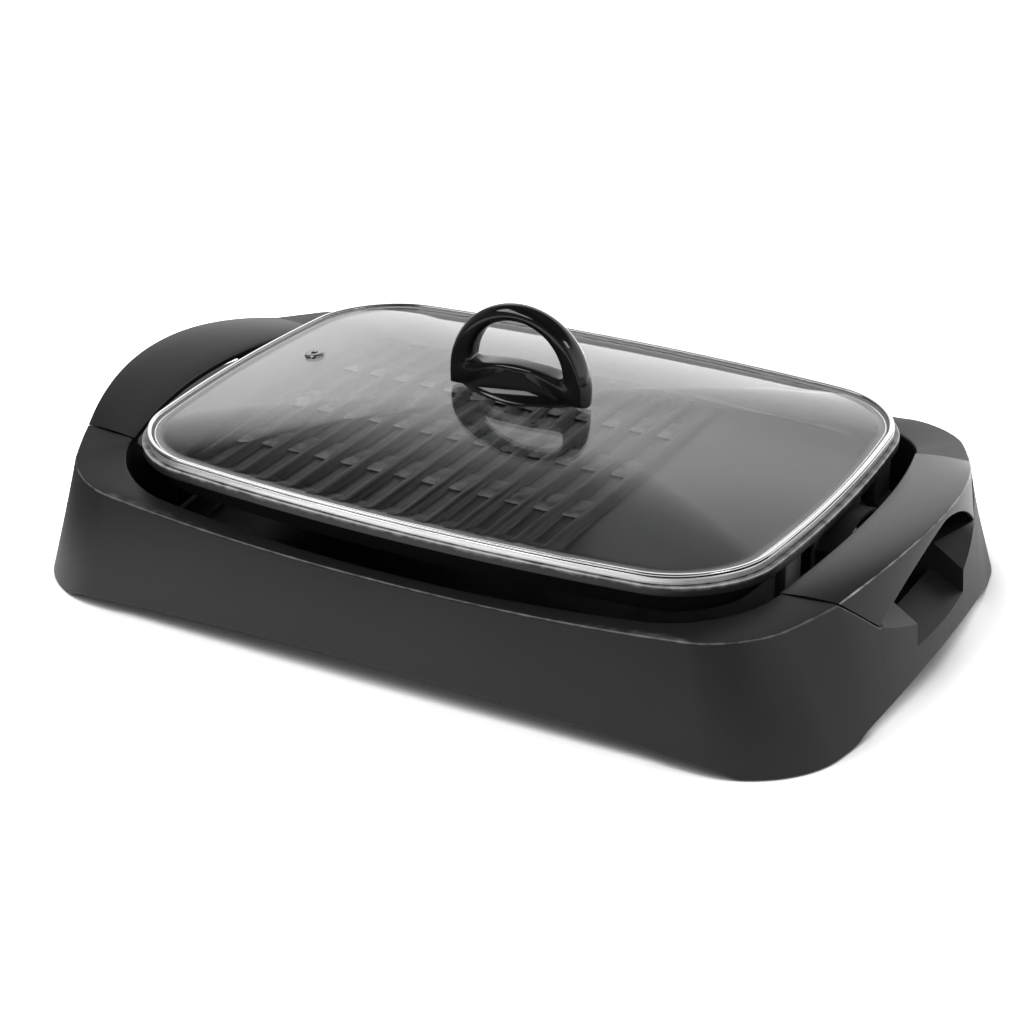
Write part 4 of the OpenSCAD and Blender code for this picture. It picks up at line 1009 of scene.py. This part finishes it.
def knob_ring():
    """The loop of the knob: a crowned hoop over an arched bar."""
    n = 176
    eye = np.array([0.0, KNOB_FLOOR + EYE_RISE])
    angles = np.linspace(0, 2 * math.pi, n, endpoint=False)
    ways = np.column_stack([np.cos(angles), np.sin(angles)])

    def reach(inside, way):
        """How far the shape goes from the eye in one direction, found by halving."""
        lo, hi = 0.0, 60.0
        for _ in range(40):
            mid = (lo + hi) / 2
            lo, hi = (mid, hi) if inside(*(eye + mid * way)) else (lo, mid)
        return lo

    def in_hole(x, z):
        bar = KNOB_FLOOR + 0.2 + BAR_RISE * (1 - min(1.0, (x / BAR_HALF) ** 2))
        return math.hypot(x, z - KNOB_FLOOR) < HOLE_R and z > bar

    def in_knob(x, z):
        return math.hypot(x, z - KNOB_MID) < KNOB_R and z > KNOB_Z

    inner = np.array([reach(in_hole, way) for way in ways])
    outer = np.array([reach(in_knob, way) for way in ways])
    for _ in range(3):
        inner = (np.roll(inner, 1) + 2 * inner + np.roll(inner, -1)) / 4
    inner = np.minimum(inner, outer - LEAST_HOOP)
    crown = np.clip((eye[1] + outer * ways[:, 1] - KNOB_Z) / 8, 0, 1)
    # Across half the section: y, and how far it is inside the hole's edge or the outer one.
    hole = [(0, 0), (3.4, 0.05), (5.2, 0.3), (6.3, 0.9), (6.85, 1.6), (7, 2.6)]
    rim = [(7, 4.6), (6.9, 3.7), (6.6, 3.05), (6.0, 2.4), (4.8, 1.5), (3.2, 0.65), (1.6, 0.16),
           (0, 0)]
    half = [(y, inner + d) for y, d in hole]
    half += [(y, outer - d * (0.75 + 0.25 * crown)) for y, d in rim]
    rows = []
    for y, r in half + [(-y, r) for y, r in half[-2:0:-1]]:
        xz = eye + ways * r[:, None]
        rows.append(np.column_stack([xz[:, 0], np.full(n, float(y)), xz[:, 1]]))
    return tidy_normals(loft("knob_ring", rows, closed=True))


def knob_lens():
    """The pointed base of the knob with its scooped finger rest."""
    a = np.linspace(0, 2 * math.pi, 96, endpoint=False)
    s, c = np.sin(a), np.cos(a)
    # share of the height, half depth, half width
    levels = [(0, 16.5, 39.6), (0.03, 17, 40), (0.08, 17, 40), (0.11, 16.6, 39.9),
              (0.15, 15.4, 39.8), (0.2, 13.9, 39.6), (0.27, 12.3, 39.4), (0.36, 10.9, 39.2),
              (0.47, 9.7, 39), (0.6, 8.7, 38.9), (0.75, 7.9, 38.8), (0.9, 7.3, 38.7),
              (0.97, 6.6, 38.4)]
    rows = [np.column_stack([x * s, -y * c * np.abs(c), np.full(len(a), KNOB_Z + KNOB_BASE_H * t)])
            for t, y, x in levels]
    return tidy_normals(loft("knob_lens", rows))


# ---------------------------------------------------------------- build
piece(base_housing(), BASE_PLASTIC, "base", "base_plastic", "base_housing")
right = handle()
left = mirrored(right, "left_handle_grip")
piece(right, HANDLE_PLASTIC, "base", "handle_plastic", "right_handle")
piece(left, HANDLE_PLASTIC, "base", "handle_plastic", "left_handle")

handle_seats, pan_seats = at_four(*HANDLE_SCREW, BOSS_SEAT), at_four(*PAN_SCREW, PAN_LOW + PAN_T)
clamps = [(x, sy * y, CLAMP_Z) for x, y in CLAMPS for sy in (1, -1)]
tabs = [(BRACKET_TAB[0], sy * BRACKET_TAB[1], CLAMP_Z) for sy in (1, -1)]
upside_down = [(math.pi, 0, 0)] * 4
screw_set("handle_screw_set", 20, handle_seats, "base", "handle_screws")
screw_set("pan_screw_set", 8, pan_seats, "base", "pan_screws", upside_down)
screw_set("clamp_screw_set", 12.5, clamps, "plate", "clamp_screws")
screw_set("bracket_screw_set", 12.5, tabs, "plate", "bracket_screws")
feet = placed("rubber_foot_set", foot_shape(), at_four(*CORNER_FOOT, 0), FOOT_RUBBER)
piece(feet, FOOT_RUBBER, "base", "foot_rubber", "rubber_feet")
piece(reflector_pan(), PAN_METAL, "base", "pan_metal", "reflector_pan")

piece(plate_bowl(), PLATE_COATING, "plate", "plate_coating", "cooking_plate")
lengths = [(1, (half_y(BASIN, x) - RIDGE_CLEAR) / RIDGE_HALF, 1) for x in RIDGE_X]
ridges = placed("grill_ridges", ridge_shape(), [(x, 0, BASIN_Z) for x in RIDGE_X],
                PLATE_COATING, stretches=lengths)
piece(ridges, PLATE_COATING, "plate", "plate_coating")
pads = placed("channel_pads", pad_shape(), pad_spots(), PLATE_COATING)
piece(pads, PLATE_COATING, "plate", "plate_coating")

piece(lid_rim(), RIM_STEEL, "lid", "rim_steel", "lid_rim")
piece(lid_glass(), LID_GLASS, "lid", "lid_glass", "lid_glass", angle=40)
piece(vent_grommet(), GROMMET_METAL, "lid", "grommet_metal", "vent_grommet")
knob = cut(knob_ring(), knob_lens(), "UNION")
piece(knob, KNOB_PLASTIC, "lid", "knob_plastic", "lid_knob", angle=38)

for mat, slot, names in (
        (SHEATH_METAL, "sheath_metal", ("heating_element", "probe_sleeve")),
        (BRACKET_STEEL, "bracket_steel", ("element_clamps", "plate_spacers", "terminal_bracket")),
        (PIN_METAL, "pin_metal", ("terminal_pins", "earth_blade")),
        (CERAMIC, "ceramic", ("pin_insulators",)),
        (HOOD_PLASTIC, "hood_plastic", ("terminal_hood",)),
        (GASKET_RUBBER, "gasket_rubber", ("knob_gasket",)),
        (SCREW_STEEL, "screw_steel", ("knob_washer", "knob_screw"))):
    for name in names:
        kept(name, mat)

# ---------------------------------------------------------------- studio
FLOOR_SEEN, CONTACT_SHADE = 2.2, 0.26     # brightness the camera sees, and the share of it left in the painted contact shadow under the feet
FLOOR_HALF = 6000
SWEEP_LEVEL, DIM_SIDE = 1.38, 0.22  # the bright side of the glossy surround, and the dim side
AMBIENT = 0.75


def studio_floor():
    """A pale floor with a painted soft contact shadow. What it throws back on the grill is painted
    darker towards the front right and on the left, as painted shade, and in glossy surfaces it
    has painted tones, brighter behind, that stand in for the light of a bright surround."""
    h = FLOOR_HALF
    floor = new_object("studio_floor", [(-h, -h, 0), (h, -h, 0), (h, h, 0), (-h, h, 0)],
                       [[0, 1, 2, 3]])
    mat, tree, shader, place = new_material("studio_floor")
    tree.nodes.remove(shader)
    seen = node(tree, "ShaderNodeLightPath").outputs
    part = node(tree, "ShaderNodeSeparateXYZ", {"Vector": place}).outputs
    along = node(tree, "ShaderNodeVectorMath", {0: place, 1: (0.6, -0.8, 0)},
                 operation="DOT_PRODUCT").outputs["Value"]
    # Painted shade and light in what the floor throws back: darker to the front right and on the
    # left, brighter behind in glossy surfaces.
    near = remap(tree, along, 0.12, 0.42, 0.85, 0.28, SOFT_STEP)
    left = remap(tree, part["X"], -0.39, -0.21, 0.12, 1.0, SOFT_STEP)
    right = remap(tree, part["X"], 0.22, 0.34, 1.0, 0.72, SOFT_STEP)
    painted_glow_behind = remap(tree, part["Y"], 0.2, 0.5, 1.0, 2.2)
    pale = remap(tree, near, 0.0, 1.0, 0.5, 1.4)
    painted_bounce_shade = calc(tree, "MULTIPLY", near, left)
    beside = calc(tree, "MULTIPLY", pale, calc(tree, "MULTIPLY", left, right))
    painted_mirror_light = calc(tree, "MULTIPLY", beside, painted_glow_behind)
    bounced = mix(tree, seen["Is Glossy Ray"], painted_bounce_shade, painted_mirror_light, "FLOAT")
    # Painted contact shadow: the floor's colour to the camera darkens where ambient occlusion
    # finds the grill close.
    openness = node(tree, "ShaderNodeAmbientOcclusion", {"Distance": 0.05}).outputs["AO"]
    painted_contact_shadow = remap(tree, openness, 0.4, 0.92, CONTACT_SHADE * FLOOR_SEEN, FLOOR_SEEN)
    paint = mix(tree, seen["Is Camera Ray"], bounced, painted_contact_shadow, "FLOAT")
    matte = node(tree, "ShaderNodeBsdfDiffuse", {"Color": paint})
    wire(tree.nodes["Material Output"], {"Surface": matte.outputs["BSDF"]})
    floor.data.materials.append(mat)


def studio_world():
    """White to the camera and through glass, an even surround for matte surfaces, and for
    glossy ones a sweep that is bright near the floor, from the back left round to the right."""
    world = bpy.data.worlds.new("studio")
    scene.world = world
    world.use_nodes = True
    tree = world.node_tree
    seen = node(tree, "ShaderNodeLightPath").outputs
    way = node(tree, "ShaderNodeTexCoord").outputs["Generated"]
    part = node(tree, "ShaderNodeSeparateXYZ", {"Vector": way}).outputs
    sweep = node(tree, "ShaderNodeValToRGB", {"Fac": part["Z"]})
    levels = [(0.0, 1.0), (0.20, 0.98), (0.33, 0.90), (0.45, 0.80), (0.52, 0.68), (0.58, 0.38),
              (0.65, 0.13), (0.72, 0.06), (1.0, 0.05)]
    ramp = sweep.color_ramp.elements
    while len(ramp) < len(levels):
        ramp.new(0.5)
    for element, (place, level) in zip(ramp, levels):
        element.position = place
        element.color = (level, level, level, 1)
    angle = calc(tree, "ARCTAN2", part["X"], part["Y"])
    left = remap(tree, angle, -0.95, -0.68, how=SOFT_STEP)
    right = remap(tree, angle, 2.6, 1.9, how=SOFT_STEP)
    side = remap(tree, calc(tree, "MULTIPLY", left, right), 0.0, 1.0, DIM_SIDE, SWEEP_LEVEL)
    lit = calc(tree, "MULTIPLY", sweep.outputs["Color"], side)
    bounces = calc(tree, "ADD", seen["Glossy Depth"], seen["Diffuse Depth"])
    unbroken = calc(tree, "LESS_THAN", bounces, 0.5)
    through = calc(tree, "MULTIPLY", seen["Is Transmission Ray"], unbroken)
    seen_white = calc(tree, "MAXIMUM", seen["Is Camera Ray"], through)
    no_matte = calc(tree, "LESS_THAN", seen["Diffuse Depth"], 0.5)
    under_glass = calc(tree, "MULTIPLY", seen["Is Transmission Ray"], no_matte)
    mirror_ray = calc(tree, "MAXIMUM", seen["Is Glossy Ray"], under_glass)
    shade = mix(tree, mirror_ray, AMBIENT, lit, "FLOAT")
    wire(tree.nodes["Background"], {"Color": (1, 1, 1, 1),
                                    "Strength": mix(tree, seen_white, shade, 1.0, "FLOAT")})


def toward(azimuth, elevation, distance):
    """A point seen from the grill at an azimuth from the back, clockwise, and an elevation."""
    a, e = math.radians(azimuth), math.radians(elevation)
    return (distance * math.sin(a) * math.cos(e), distance * math.cos(a) * math.cos(e),
            distance * math.sin(e))


def softbox(name, centre, target, size, strength):
    """A rectangular lamp. A strength of 1 is as bright as white."""
    lamp = bpy.data.lights.new(name, "AREA")
    lamp.shape, lamp.size, lamp.size_y = "RECTANGLE", size[0], size[1]
    area = size[0] * size[1]
    lamp.energy = strength * area * math.pi
    obj = linked(name, lamp)
    obj.location = centre
    aim = Vector(target) - Vector(centre)
    obj.rotation_euler = aim.to_track_quat("-Z", "Y").to_euler()
    obj.visible_camera = False


def viewpoint(place, azimuth, elevation, roll, lens):
    """The camera, looking down from the front right."""
    camera = bpy.data.cameras.new("camera")
    camera.lens, camera.sensor_width = lens, 36.0
    eye = linked("camera", camera)
    scene.camera = eye
    az, el, roll = (math.radians(v) for v in (azimuth, elevation, roll))
    backward = Vector((math.sin(az) * math.cos(el), -math.cos(az) * math.cos(el), math.sin(el)))
    side = Vector((math.cos(az), math.sin(az), 0))
    top = side.cross(-backward)
    x_axis = side * math.cos(roll) + top * math.sin(roll)
    y_axis = -side * math.sin(roll) + top * math.cos(roll)
    pose = Matrix((x_axis, y_axis, backward)).transposed().to_4x4()
    pose.translation = place
    eye.matrix_world = pose


studio_floor()
studio_world()
softbox("key_front_left", toward(-125, 56, 2.4), (0, 0, 0.08), (2.2, 0.62), 4.8)
softbox("kicker_right", toward(101, 44, 2.2), (0, 0, 0.1), (0.5, 0.35), 6.0)
viewpoint((0.6031, -1.0899, 0.6378), 29.195, 25.907, -0.384, lens=86.28)
scene.view_settings.view_transform = "Standard"
